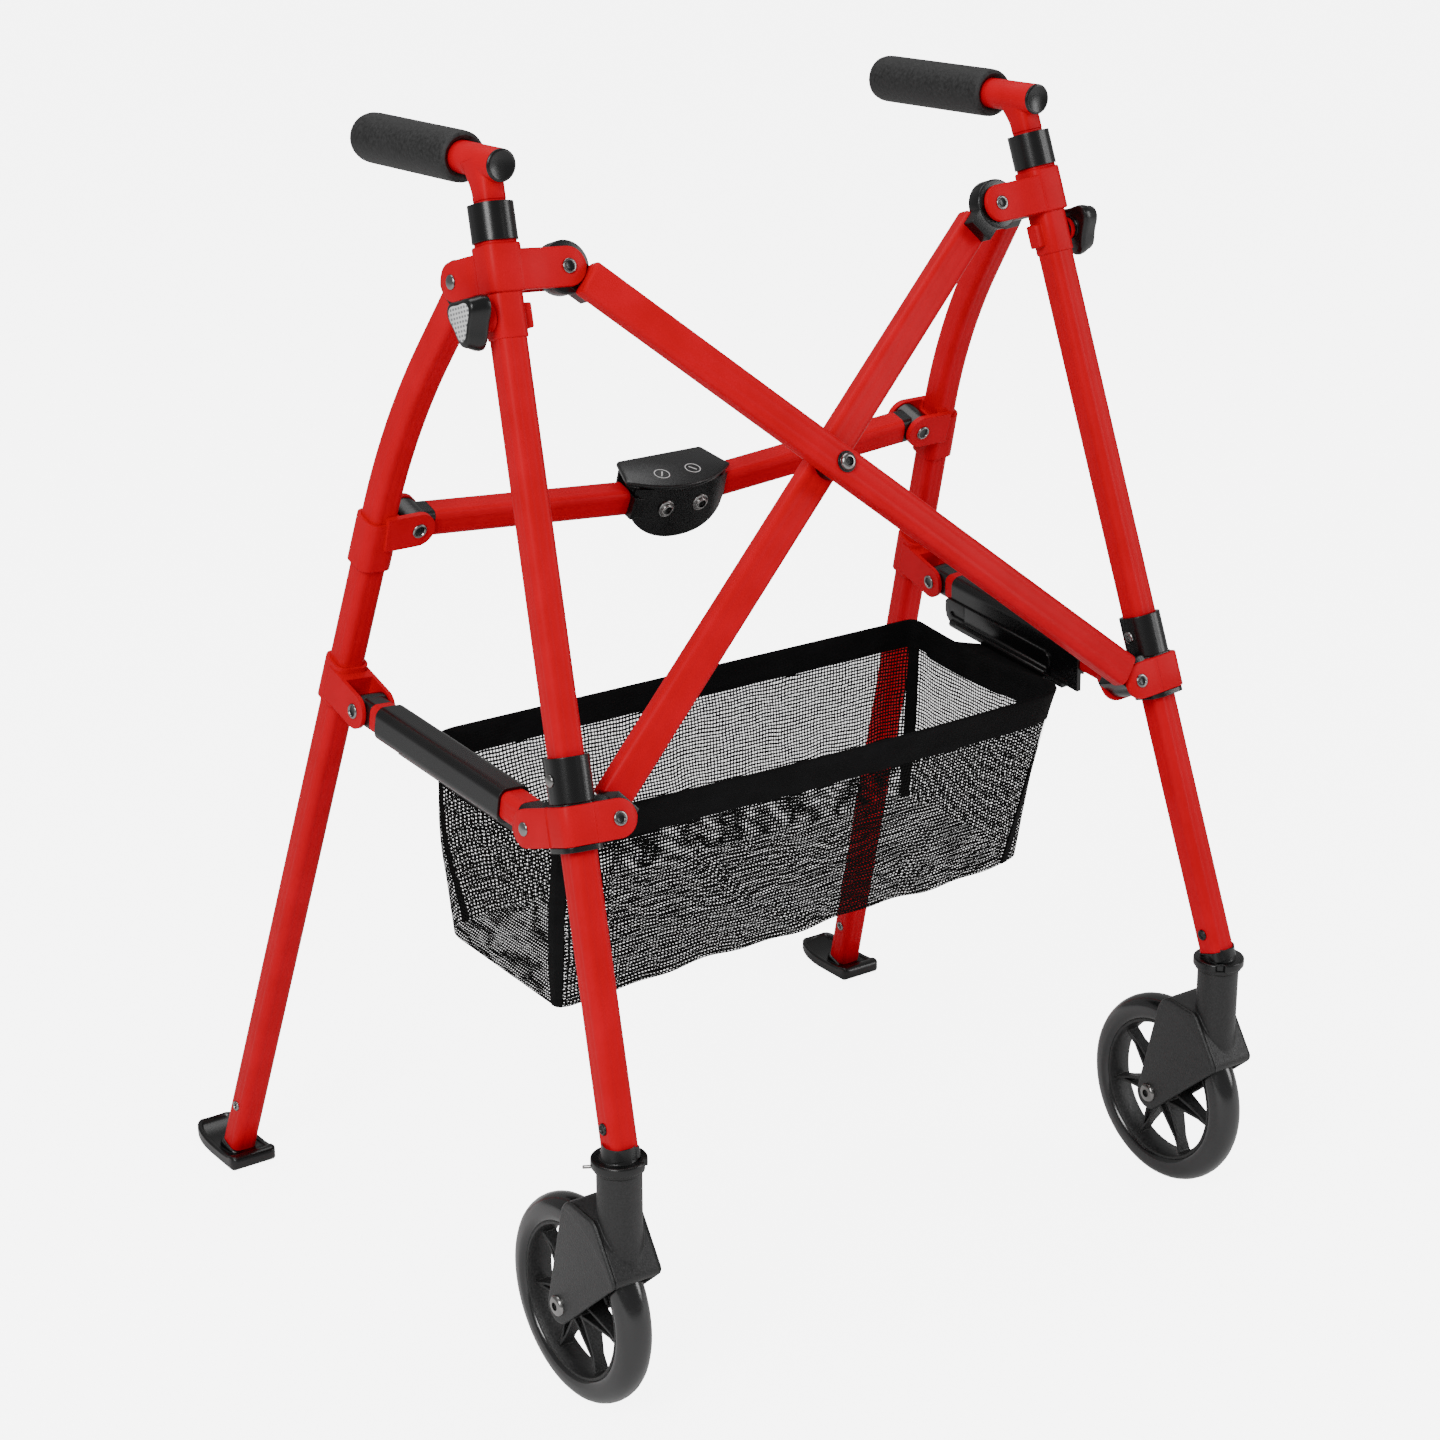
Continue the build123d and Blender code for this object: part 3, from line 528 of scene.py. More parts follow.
def basket_rail():
    """Inner plate of the rail with rounded ends, a slot at the rear and a rolled lower edge."""
    start, end = RAIL_START, RAIL_END
    slot = end - 25
    plate = [(start + 6, 5), (start + 1, 9), (start, 15), (start + 1.5, 22), (start + 6, 26),
             (slot, 26), (slot, 5)]
    rear = [(slot, 5), (end - 3, 5), (end, 8), (end, 16), (end - 1.5, 21), (end - 5, 24.6), (end - 10, 26),
            (slot, 26), (slot, 18.6), (end - 9, 18.6), (end - 7.4, 17.2), (end - 7.4, 15.8), (end - 9, 14.4),
            (slot, 14.4)]
    build = Build()
    for outline in (plate, rear):
        build.prism(outline, 11.6, 14.4, BLACK, LINK @ LENGTHWISE, 0.5)
    build.prism(disc(3.3, 20, 14.6, 24.6), start + 3, end - 8, BLACK, LINK, 2.2)
    build.prism(disc(1.5, 12, 14.4, 19.0, 1.1 / 1.5), start + 3, slot - 2, BLACK, LINK, 0.8)
    build.both("basket_rail", "side_bar", (), 44)


basket_rail()

cross_dir = CENTRE_PIN - CROSS_PIN
CROSS = local_frame(CROSS_PIN, CROSS_N.cross(cross_dir), cross_dir)
CROSS_LEN = cross_dir.length / MM
straight_tube(CROSS, SQUARE, 15, CROSS_LEN - 28.5).both("cross_bar_tube", "cross_bar", ["cross_tube"])

low_pin = Vector((-COLLAR_PIN.x, COLLAR_PIN.y, COLLAR_PIN.z))
brace_dir = low_pin - HUB_PIN
BRACE = local_frame(HUB_PIN, BRACE_N.cross(brace_dir), brace_dir)
BRACE_LEN = brace_dir.length / MM
BRACE_MID = BRACE_LEN * -HUB_PIN.x / (low_pin.x - HUB_PIN.x)
BRACE_OFF = 11.5                             # bar's middle from the plane of its pins
BRACE_CUT = 14.2                             # pin to the bar's end


def rear_leg_points():
    """Centre line of the rear leg in the side frame."""
    start = Vector((0, REAR_PIVOT, 0))
    start += (REAR_BEND - start).normalized() * 17
    return arc_points(start, REAR_BEND, REAR_BEND + REAR_DOWN * REAR_RUN, 470)


def rear_leg():
    """Bent tube, open at both ends."""
    build = Build()
    build.grid(path_rings(rear_leg_points(), SQUARE), RED, SIDE, closed=True)
    build.both("rear_leg_tube", "rear_leg", ["rear_leg"])


def brace_tube(name, face):
    """Flat bar with rounded closed ends, in front of the pins (face 1) or behind them (-1)."""
    ends = ((1.6, 0.0), (0.5, 0.5), (0.0, 1.6))
    rings = [(inset, BRACE_CUT + back) for inset, back in ends]
    rings += [(inset, BRACE_LEN - BRACE_CUT - back) for inset, back in reversed(ends)]
    build = Build()
    build.grid(inset_rings(creased(25, 16, 5.0), rings), RED, moved(BRACE, 0, face * BRACE_OFF), closed=True,
               caps=(0, -1))
    build.sharpen(38)
    build.write(f"{name}_tube", name, [f"{name}_bar"], face < 0)


def brace_ends(name, face):
    """Black end inserts: a round knuckle on the pin and a shoulder up to the bar."""
    build = Build()
    ends = ((False, 0, 18.2, 6.4, 27.0), (True, BRACE_LEN, 11.0, 12.4, 15.5))
    for flip, length, radius, half, reach in ends:
        place = turned(moved(BRACE, 0, 0, length), 180 if flip else 0, "Y")
        build.prism(disc(radius, 40), -half, half, BLACK, place @ CROSSWAYS, 1.2)
        build.prism([(-10, -half), (10, -half), (10, half), (-10, half)], 2.0, reach, BLACK, place, 1.0)
    if face > 0:
        middle = moved(BRACE, 0, 0, BRACE_MID)
        build.prism(disc(11, 40), -3.5, 3.5, BLACK, middle @ CROSSWAYS, 0.6)
    build.sharpen(40)
    build.write(f"{name}_ends", name, [f"{name}_inserts"], face < 0)


def brace_bolt():
    build = Build()
    for side in (-1, 1):
        face = toward(BRACE @ Vector((0, side * 19.6, BRACE_MID)), BRACE_N * side)
        build.lathe([(7.6, 0.0), (7.6, 0.8), (7.0, 1.2), (5.0, 1.2)], BLACK, face)
        socket_head(build, face, 1.2, 6.0, 3.0, 2.9)
    build.single("brace_bolt_heads", "front_brace", ["brace_bolt"], 50)


# ---- castings, plugs and small parts ----
def hull(circles, steps=28):
    """Convex outline round several (x, y, radius) circles."""
    points = []
    for x, y, radius in circles:
        points += disc(radius, steps, x, y)
    points = sorted(set((round(a, 4), round(b, 4)) for a, b in points))

    def chain(run):
        out = []
        for p in run:
            while len(out) > 1:
                (ax, ay), (bx, by) = out[-2], out[-1]
                if (bx - ax) * (p[1] - ay) - (by - ay) * (p[0] - ax) > 0:
                    break
                out.pop()
            out.append(p)
        return out

    return chain(points)[:-1] + chain(points[::-1])[:-1]


def ear(build, mat, place, reach, radius, inner, outer, wide=None, fade=(2, 5)):
    """Pair of ear plates along local X with half-round ends; they start wide and narrow to outer."""
    wide = wide or outer
    for side in (-1, 1):
        rings = []
        run = fade[1] - fade[0]
        stations = sorted({0.0, fade[0], fade[0] + run * 0.33, fade[0] + run * 0.67, fade[1], reach})
        stations += [reach + radius * math.sin(math.pi / 2 * n / 9) for n in range(1, 10)]
        for x in stations:
            share = max(0.0, min(1.0, (x - fade[0]) / run))
            share = share * share * (3 - 2 * share)
            y1 = wide + (outer - wide) * share
            past = max(0.0, x - reach)
            half = max(0.4, math.sqrt(max(0.0, radius * radius - past * past)))
            soft = min(1.3, half * 0.8)
            a, b = Vector((x, side * inner, -half)), Vector((x, side * y1, -half))
            d, c = Vector((x, side * inner, half)), Vector((x, side * y1, half))
            ring = [a, b + (a - b).normalized() * soft, b + Vector((0, -side * 0.3, soft * 0.3)),
                    b + Vector((0, 0, soft)), c - Vector((0, 0, soft)),
                    c + Vector((0, -side * 0.3, -soft * 0.3)), c + (d - c).normalized() * soft, d]
            rings.append(ring)
        build.grid(rings, mat, place, closed=True, caps=(0, -1))


def hub():
    """Cast hub: socket for the leg, two pairs of ears, knob boss and a small front tab."""
    build = Build()
    build.prism(rounded_rect(27, 27, 6.5), -14, 18, RED, FRONT, 1.4)
    build.prism(rounded_rect(23.0, 23.0, 6.3), -44, -12, RED, FRONT, 1.0)
    build.prism(rounded_rect(24.6, 24.6, 7.5), 16, 20.4, RED, FRONT, 1.0)
    ear(build, RED, moved(FRONT, 8), 39.5, 13.5, 6.8, 10.4, 13.2, (3, 26))
    ear(build, RED, moved(turned(FRONT, REAR_TURN), 8), 29.4, 13.5, 10.8, 14.2, 13.2, (3, 10))
    boss = toward(FRONT @ Vector((0, 0, KNOB_AT)), -FRONT_X, LEG_UP)
    build.lathe([(9.5, 12.0), (8.6, 15.5), (8.0, 17.0), (3.5, 17.0)], RED, boss)
    build.prism([(9, -4.5), (18.0, -4.5), (18.0, 4.5), (9, 4.5)], -38, -21, RED, FRONT, 1.2)
    build.both("hub_casting", "leg", ["hub"])


def collar():
    """Sliding collar: an open box round the leg with two pairs of ears."""
    build = Build()
    place = moved(FRONT, COLLAR_SHIFT, 0, COLLAR_AT)
    outer = inset_rings(rounded_rect(31.4, 31.4, 7.0), ((1.2, 13.5), (0.35, 13.15), (0, 12.3), (0, -12.3),
                                                        (0.35, -13.15), (1.2, -13.5)))
    bore = inset_rings(rounded_rect(25.6, 25.6, 5.8), ((0, 13.5), (0, -13.5)))
    build.grid([bore[0]] + outer + [bore[1]], RED, place, closed=True)
    ear(build, RED, moved(place, 8), 18.7, 13.5, 12.8, 15.9)
    ear(build, RED, moved(turned(place, REAR_TURN), 8), 28.5, 13.5, 12.8, 15.9)
    build.both("collar_casting", "collar", ["collar"])


def collar_liner():
    """Black liner: a flange below the collar and rounded shoulders above it."""
    build = Build()
    place = moved(FRONT, COLLAR_SHIFT, 0, COLLAR_AT)
    bore = rounded_rect(23.6, 23.6, 6.8)
    for width, radius, z0, z1 in ((25.5, 5.8, -16.0, 14.5), (30.5, 8.5, -17.2, -13.6)):
        outline = rounded_rect(width, width, radius)
        rings = [[(x, y, z) for x, y in o] for o, z in ((bore, z1), (outline, z1), (outline, z0), (bore, z0))]
        build.grid(rings, BLACK, place, closed=True)
    for turn, reach in ((0, 17), (REAR_TURN, 14)):
        arm = turned(place, turn)
        crest = [(9 + reach * n / 10, 13.0 + 4.2 * math.sin(math.pi * n / 10) ** 0.7) for n in range(11)]
        rings = [[(x, side * 8.5, z) for x, z in crest] for side in (-1, 1)]
        low = [[(x, side * 10.5, 11.0) for x, z in crest] for side in (-1, 1)]
        build.grid([low[0], rings[0], rings[1], low[1]], BLACK, arm)
    build.both("collar_liner", "collar", ["collar_bushing"], 50)


FRONT_Y = FRONT.to_3x3() @ Vector((0, 1, 0))


def leg_fasteners():
    build = Build()
    for side in (-1, 1):
        face = toward(FRONT @ Vector((BRACE_TOP_ARM, side * 10.4, 0)), FRONT_Y * side, LEG_UP)
        eyelet(build, face)
        rear = toward(SIDE @ Vector((side * 14.2, REAR_PIVOT, 0)), SIDE_X * side, LEG_UP)
        dome(build, rear, 5.2, 1.9)
        stop = toward(FRONT @ Vector((side * 14.75, 0, -334)), FRONT_X * side, LEG_UP)
        dome(build, stop, 4.6, 1.6)
        foot = toward(FRONT @ Vector((side * 10.5, 0, -567)), FRONT_X * side, LEG_UP)
        eyelet(build, foot, 4.2, BLACK)
    build.both("leg_fasteners", "leg", ["leg_pins"], 50)


def collar_fasteners():
    build = Build()
    for side in (-1, 1):
        face = toward(FRONT @ Vector((BRACE_LOW_ARM, side * 15.8, COLLAR_AT)), FRONT_Y * side, LEG_UP)
        eyelet(build, face)
        rear = SIDE @ Vector((COLLAR_SHIFT + side * 15.8, LINK_PIVOT, COLLAR_AT))
        dome(build, toward(rear, SIDE_X * side, LEG_UP), 5.0, 1.8)
    build.both("collar_fasteners", "collar", ["collar_pins"], 50)


def rear_fasteners():
    build = Build()
    for side in (-1, 1):
        cross = toward(CROSS_PIN + CROSS_N * side * 15.4 * MM, CROSS_N * side)
        eyelet(build, cross, 5.6)
        link = toward(SIDE_PIN + SIDE_X * side * 14.0 * MM, SIDE_X * side)
        eyelet(build, link, 5.6)
        spot = REAR_BEND + REAR_DOWN * (REAR_RUN - 40) + Vector((side * 10.5, 0, 0))
        eyelet(build, toward(SIDE @ spot, SIDE_X * side), 4.0)
    build.both("rear_fasteners", "rear_leg", ["rear_pins"], 50)


def knob():
    """Three-lobed clamp knob, one lobe down, with a pale pad on its face."""
    build = Build()
    place = toward(FRONT @ Vector((0, 0, KNOB_AT)), -FRONT_X, FRONT_X.cross(LEG_UP))
    up = (place.inverted().to_3x3() @ LEG_UP).normalized()
    base = math.degrees(math.atan2(up.y, up.x))
    points = []
    for n in range(72):
        angle = math.tau * n / 72
        wave = math.cos(3 * (angle - math.radians(base + 180)))
        reach = 17.6 + 3.6 * wave - 0.8 * (1 - wave * wave)
        points.append((reach * math.cos(angle), reach * math.sin(angle)))
    body = ((19.3, 0.80), (19.5, 0.9), (20.6, 0.98), (23.0, 1.0), (26.0, 0.975), (30.0, 0.90), (32.6, 0.87),
            (33.8, 0.84), (34.3, 0.79))
    pad = ((34.1, 0.68), (34.8, 0.675), (35.1, 0.65))
    for levels, mat, caps in ((body, BLACK, (0, -1)), (pad, PAD, (-1,))):
        rings = [[(x * scale, y * scale, z) for x, y in points] for z, scale in levels]
        build.grid(rings, mat, place, closed=True, caps=caps)
    build.lathe([(8.2, 16.9), (8.2, 19.4)], BLACK, place)
    inverse = place.inverted()
    for face in build.bm.faces:
        if face.material_index == build.slot(PAD):
            for loop in face.loops:
                at = inverse @ loop.vert.co
                loop[build.uv].uv = (at.x, at.y)
    build.both("clamp_knob", "knob", ["knob"], 40)


GRIP_LEN = 131.0
STEM_FLARE = 47                              # height where the stem starts to widen


def handle():
    """T handle: square stem flaring into the cross tube, foam grip behind and end plug in front."""
    handle_low, handle_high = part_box("right_handle_plug")
    start = (handle_low + handle_high) / 2
    grip_low, grip_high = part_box("right_grip")
    end = (grip_low + grip_high) / 2
    axis = (end - start).normalized()
    length = (grip_high.y - 0.0005 - handle_low.y) / axis.y / MM
    place = toward(start + axis * (handle_low.y - start.y) / axis.y, axis, (1, 0, 0))
    build = Build()
    near = length - GRIP_LEN
    build.lathe([(11.2, near + 4.0), (12.4, near + 1.6), (14.6, near), (16.4, near + 0.8), (17.2, near + 3.0),
                 (17.5, near + 8.0), (17.5, length - 12.0), (17.2, length - 7.0), (16.2, length - 3.4),
                 (14.2, length - 1.0), (11.0, length), (0.5, length)], FOAM, place, 48, caps=(-1,))
    build.both("foam_grip", "handle", ["grip"], 60)
    build = Build()
    build.lathe([(9.6, 1.6), (10.6, 1.4), (11.0, 2.0), (11.0, near + 6.0)], RED, place, 48)
    build.prism(rounded_rect(18.1, 18.1, 4.5), -150, 60, RED, FRONT)
    centre = FRONT.inverted() @ (start + axis * 0.018)
    rings = []
    for n in range(9):
        share = n / 8
        z = STEM_FLARE + (centre.z - 2 - STEM_FLARE) * share
        flare = max(0.0, share - 0.25) / 0.75
        ring = []
        for x, y in rounded_rect(18.6 + 2.6 * flare, 18.6 + 2.4 * flare, 4.8 + 4.5 * flare, 6):
            rearward = 9.0 * flare ** 1.3 if y > 0 else 0.0
            ring.append((x, y + rearward, z + (3.0 * flare if abs(x) > 6 else 0.0)))
        rings.append(ring)
    build.grid(rings, RED, FRONT, closed=True, caps=(0, -1))
    build.both("handle_bar", "handle", ["handle_tube"], 50)
    build = Build()
    build.lathe([(10.9, 2.2), (11.0, 0.9), (10.4, 0.2), (9.4, 0.0), (8.6, 0.5), (0.4, 0.35)], BLACK, place,
                caps=(-1,))
    build.both("end_plug", "handle", ["handle_plug"], 40)


def fork():
    """Caster fork: round stem, two cheeks and a crown cut to an arc above the wheel."""
    back = (WHEEL.y - SWIVEL.y) / MM
    build = Build()
    build.lathe([(6.5, 194.8), (14.8, 194.8), (15.5, 194.1), (15.5, 141.0), (15.9, 135.0), (17.2, 130.0),
                 (19.2, 126.5), (20.2, 122.5), (19.6, 119.5)], GREY, CASTER)
    outline = hull([(back + 1, 73, 12.5), (-15.5, 122.5, 5.5), (29, 147, 15), (8, 150, 10)])
    for x0, x1 in ((15.6, 20.0), (-20.0, -15.6)):
        build.prism(outline, x0, x1, GREY, CASTER @ SIDEWAYS, 2.4, 5)
    arch = 79
    crown = [(y, z) for y, z in outline if math.hypot(y - back, z - WHEEL_HEIGHT) > arch + 0.5]
    first = max(range(len(crown)), key=lambda k: math.dist(crown[k], crown[k - 1]))
    crown = crown[first:] + crown[:first]
    a = math.atan2(crown[-1][1] - WHEEL_HEIGHT, crown[-1][0] - back)
    b = math.atan2(crown[0][1] - WHEEL_HEIGHT, crown[0][0] - back)
    for n in range(13):
        angle = a + (b - a) * n / 12
        crown.append((back + arch * math.cos(angle), WHEEL_HEIGHT + arch * math.sin(angle)))
    build.prism(crown, -19.95, 19.95, GREY, CASTER @ SIDEWAYS, 2.4, 5)
    build.both("caster_fork", "caster", ["fork"], 40)


def leg_plug():
    """Cone under the leg tube, notched flange on the fork stem, and its small release pin."""
    build = Build()
    build.prism(rounded_rect(22.6, 22.6, 6.2), LEG_BOTTOM - 7, LEG_BOTTOM + 0.4, BLACK, FRONT)
    build.lathe([(11.2, 214.0), (12.4, 206.0), (13.6, 203.2), (14.6, 202.9)], BLACK, CASTER)
    notched = []
    for n in range(96):
        angle = math.tau * n / 96 - 0.35
        radius = 16.6 if abs(math.remainder(angle + 0.9, math.tau)) < 0.16 else 19.2
        notched.append((radius * math.cos(angle), radius * math.sin(angle)))
    build.prism(notched, 197.7, 204.2, BLACK, CASTER, 1.1)
    build.lathe([(17.4, 198.4), (17.4, 195.6), (16.6, 195.0), (8.0, 195.0)], BLACK, CASTER)
    pin = toward(CASTER @ Vector((-13.0, 9.0, 197.0)), (-0.86, 0.5, 0))
    build.lathe([(1.3, 0.0), (1.3, 8.0), (0.9, 8.6), (0.3, 8.6)], STEEL, pin, 16, caps=(-1,))
    build.both("leg_plug_flange", "leg", ["leg_plug"], 40)


def axle():
    build = Build()
    for side in (-1, 1):
        face = toward(WHEEL + Vector((side * 19.4 * MM, 0, 0)), (side, 0, 0))
        socket_head(build, face, 0.0, 7.6, 3.4, 2.6)
    build.both("axle_head", "caster", ["axle_bolt"], 50)


def tyre():
    place = toward(WHEEL, (1, 0, 0))
    build = Build()
    bead = [(56.8, -9.9), (57.6, -11.2), (59.5, -12.0), (61.5, -12.5)]
    outline = list(bead)
    for n in range(13):
        angle = math.pi * n / 12 - math.pi / 2
        outline.append((62.5 + 12.5 * max(0.0, math.cos(angle)) ** 0.8, 12.5 * math.sin(angle)))
    outline += [(radius, -z) for radius, z in reversed(bead)]
    build.lathe(outline, TYRE, place, 96)
    build.both("tyre_tread", "wheel", ["tyre"], 40)


def wheel():
    """Rim and hub joined by seven pairs of thin ribs that meet at the rim."""
    place = toward(WHEEL, (1, 0, 0))
    build = Build()
    build.lathe([(57.2, -9.6), (56.2, -10.2), (54.6, -10.0), (53.2, -7.0), (52.3, 0.0), (53.2, 7.0),
                 (54.6, 10.0), (56.2, 10.2), (57.2, 9.6)], GREY, place, 96)
    build.lathe([(5.0, -14.8), (10.6, -14.8), (11.4, -14.0), (12.4, -8.0), (12.4, 8.0), (11.4, 14.0),
                 (10.6, 14.8), (5.0, 14.8)], GREY, place, 40, caps=(0, -1))
    pairs = 7
    for n in range(pairs):
        for lean in (-8, 8):
            rib = turned(moved(turned(place, 360 / pairs * n), 52.9), lean)
            rings = []
            for x, half, thick in ((-43.5, 8.0, 1.4), (-34.0, 6.4, 1.1), (-12.0, 4.2, 0.9), (0.0, 5.4, 1.2)):
                rings.append([(x, -thick, -half), (x, thick, -half), (x, thick, half), (x, -thick, half)])
            build.grid(rings, GREY, rib, closed=True, caps=(0, -1))
    build.both("wheel_rim", "wheel", ["wheel"], 40)


# Distance behind the leg's end, sole height, half width, lip height and deck height.
FOOT_STATIONS = (
    (-27.0, 4.4, 14.0, 7.8, 7.8), (-26.6, 3.0, 16.4, 9.4, 9.4), (-25.6, 1.6, 17.9, 10.8, 10.8),
    (-24.0, 0.6, 18.8, 11.6, 11.6), (-21.5, 0.0, 19.5, 12.0, 11.8), (-18.0, 0.0, 19.5, 11.4, 10.6),
    (-15.5, 0.0, 19.5, 10.2, 8.8), (-6.0, 0.0, 19.5, 9.4, 8.0), (6.0, 0.0, 19.5, 9.4, 7.2),
    (15.0, 0.2, 19.5, 9.8, 6.2), (23.0, 0.9, 19.5, 10.8, 6.2), (30.0, 2.4, 19.3, 12.4, 7.6),
    (36.0, 4.6, 18.4, 14.0, 9.6), (40.5, 6.8, 16.8, 15.0, 11.6), (43.4, 8.8, 14.6, 15.4, 13.8),
    (45.2, 10.6, 12.2, 15.2, 15.0), (46.0, 12.4, 10.6, 14.4, 14.4))


def foot_section(y, bottom, half, top, deck):
    """Closed outline across the foot: flat sole, raised lips at both sides and a deck between them."""
    side = [(half - 1.5, bottom), (half, bottom + 1.5), (half, top - 1.2), (half - 1.2, top),
            (half - 3.2, top), (half - 4.4, top - 0.3 * (top - deck)), (half - 4.9, deck)]
    return [(x, y, z) for x, z in side] + [(-x, y, z) for x, z in reversed(side)]


def foot():
    """Glide foot: rounded toe roll at the front, tray with a rim that turns up at the heel."""
    end = SIDE @ (REAR_BEND + REAR_DOWN * REAR_RUN)
    place = Matrix.Translation((end.x, end.y, 0)) @ Matrix.Scale(MM, 4)
    build = Build()
    build.grid([foot_section(*station) for station in FOOT_STATIONS], BLACK, place, closed=True, caps=(0, -1))
    socket = local_frame(end, SIDE_X, -(SIDE.to_3x3() @ REAR_DOWN))
    build.prism(rounded_rect(25.0, 25.0, 7.0), -8, 0.5, BLACK, socket, 1.2)
    build.both("glide_foot", "rear_leg", ["foot"], 42)


def housing():
    """Lift housing: a lid with a bowed front edge, a deep rounded skirt and a rear plate."""
    place = local_frame((0, CENTRE_PIN.y, CENTRE_PIN.z), (1, 0, 0), CROSS_N)
    top = place @ LIDWISE
    lid = [(-47, -7), (-45.5, -3), (-38.5, 20), (-36.5, 21.3), (36.5, 21.3), (38.5, 20), (45.5, -3), (47, -7)]
    for n in range(1, 24):
        x = 47 - 94 * n / 24
        lid.append((x, -7 - 17.0 * (1 - (x / 47) ** 2)))
    build = Build()
    build.prism(lid, 17.6, 21.6, BLACK, top, 1.3)
    rings = []
    for inset in (0.0, 2.4):
        for row in range(9):
            ring = []
            for n in range(33):
                x = -42 + 84 * n / 32
                depth = 19.8 - 7.0 * abs(x / 42) ** 3 - inset
                low = -2 - 24.5 * math.sqrt(max(0.0, 1 - (x / 42.0) ** 2))
                share = row / 8 if inset == 0.0 else 1 - row / 8
                ring.append((x, 17.8 * (1 - share) + low * share, depth))
            rings.append(ring)
    build.grid(rings, BLACK, place)
    build.prism([(-36.5, -13), (36.5, -13), (36.5, 17.8), (-36.5, 17.8)], -19.9, -17.4, BLACK, place, 0.8)
    build.single("lift_housing", "housing", ["housing"], 40)
    marks = Build()
    for x in (-14.0, 14.0):
        at = moved(top, x, -5.0, 21.55)
        marks.lathe([(6.2, 0.0), (6.2, 0.12), (5.5, 0.12), (5.5, 0.0)], PAD, at, 48)
        marks.prism([(-0.5, -3.4), (0.5, -3.4), (0.5, 3.4), (-0.5, 3.4)], 0.0, 0.12, PAD, turned(at, 2.5 * x))
    marks.single("housing_marks", "housing", (), 40)
    bolts = Build()
    for x in (-15.5, 15.5):
        at = moved(place, x, 0, 19.4)
        bolts.lathe([(6.8, 0.0), (6.8, 0.8), (6.3, 1.2), (4.0, 1.2)], STEEL, at)
        socket_head(bolts, at, 1.2, 4.7, 2.2, 2.5)
    bolts.single("housing_bolt_heads", "housing", ["housing_bolts"], 50)


rear_leg()
for brace, side_of_pins in (("front_brace", 1), ("rear_brace", -1)):
    brace_tube(brace, side_of_pins)
    brace_ends(brace, side_of_pins)
for make in (brace_bolt, hub, collar, collar_liner, leg_fasteners, collar_fasteners, rear_fasteners, knob,
             handle, fork, leg_plug, axle, tyre, wheel, foot, housing):
    make()


# ---- basket ----
SHIFT_Y = -270.69                            # the plan below is measured from the front of the walker


def loop_points(corners, radii, steps=8):
    """Closed plan outline with a rounded corner at every point, anticlockwise from above."""
    points = []
    count = len(corners)
    for i, corner in enumerate(corners):
        c = Vector(corner)
        u = (Vector(corners[i - 1]) - c).normalized()
        v = (Vector(corners[(i + 1) % count]) - c).normalized()
        a, b = c + u * radii[i], c + v * radii[i]
        for n in range(steps + 1):
            t = n / steps
            points.append(a * (1 - t) ** 2 + c * 2 * t * (1 - t) + b * t * t)
    return points


def resample(points, count):
    """Even steps round a closed outline, and its whole length."""
    total = sum((points[(i + 1) % len(points)] - p).length for i, p in enumerate(points))
    out, i, done = [], 0, 0.0
    for n in range(count):
        want = total * n / count
        while True:
            step = (points[(i + 1) % len(points)] - points[i]).length
            if done + step >= want or i == len(points) - 1:
                break
            done += step
            i += 1
        t = (want - done) / step if step else 0.0
        out.append(points[i].lerp(points[(i + 1) % len(points)], t))
    return out, total


RIM_HEIGHT, BASE_HEIGHT = 401.0, 257.0
RIM = [(-241, 118), (212, 118), (222, 318), (-232, 318)]
BASE = [(-238, 132), (197, 146), (206, 304), (-232, 300)]
RIM_R = (10, 34, 10, 26)
BASE_R = (12, 26, 16, 24)
AROUND = 260
DOWN = 34

rim_loop, rim_total = resample(loop_points(RIM, RIM_R), AROUND)
base_loop = resample(loop_points(BASE, BASE_R), AROUND)[0]
rng = random.Random(7)
WAVES = [(rng.randint(3, 13), rng.uniform(0.6, 3.0), rng.uniform(0, math.tau), rng.uniform(0.3, 1.0))
         for _ in range(12)]


def ripple(share, depth):
    """Small folds in the net, fading at the rim and the floor."""
    value = 0.0
    for turns, down, phase, size in WAVES:
        value += size * math.sin(math.tau * turns * share + phase + 3.2 * down * depth)
    return value * 0.55 * math.sin(math.pi * min(1.0, depth * 1.05)) ** 1.5


def rim_height(share):
    """Rim sags a little between its hangers."""
    x, y = rim_loop[int(share * AROUND) % AROUND]
    sag = 4.0 * math.cos(math.pi * x / 470.0) if y < 200 else 1.5
    end = 6.0 * math.sin(math.pi * max(0.0, min(1.0, (y - 118) / 200.0))) if abs(x) > 200 else 0.0
    return RIM_HEIGHT - sag - end


def wall_point(j, depth, offset=0.0):
    """Point of the basket wall: j round the rim, depth 0 at the rim and 1 at the floor."""
    j %= AROUND
    top, low = rim_loop[j], base_loop[j]
    bulge = 5.0 * math.sin(math.pi * depth) if top.x < -200 else 1.5 * math.sin(math.pi * depth)
    ahead, behind = rim_loop[(j + 1) % AROUND], rim_loop[j - 1]
    run = (ahead - behind).normalized()
    normal = Vector((run.y, -run.x))
    ease = depth ** 0.9
    plan = top.lerp(low, ease) + normal * (bulge + ripple(j / AROUND, depth) + offset)
    height = rim_height(j / AROUND) * (1 - depth) + floor_height(plan.x, plan.y, True) * depth
    return Vector((plan.x, plan.y + SHIFT_Y, height))


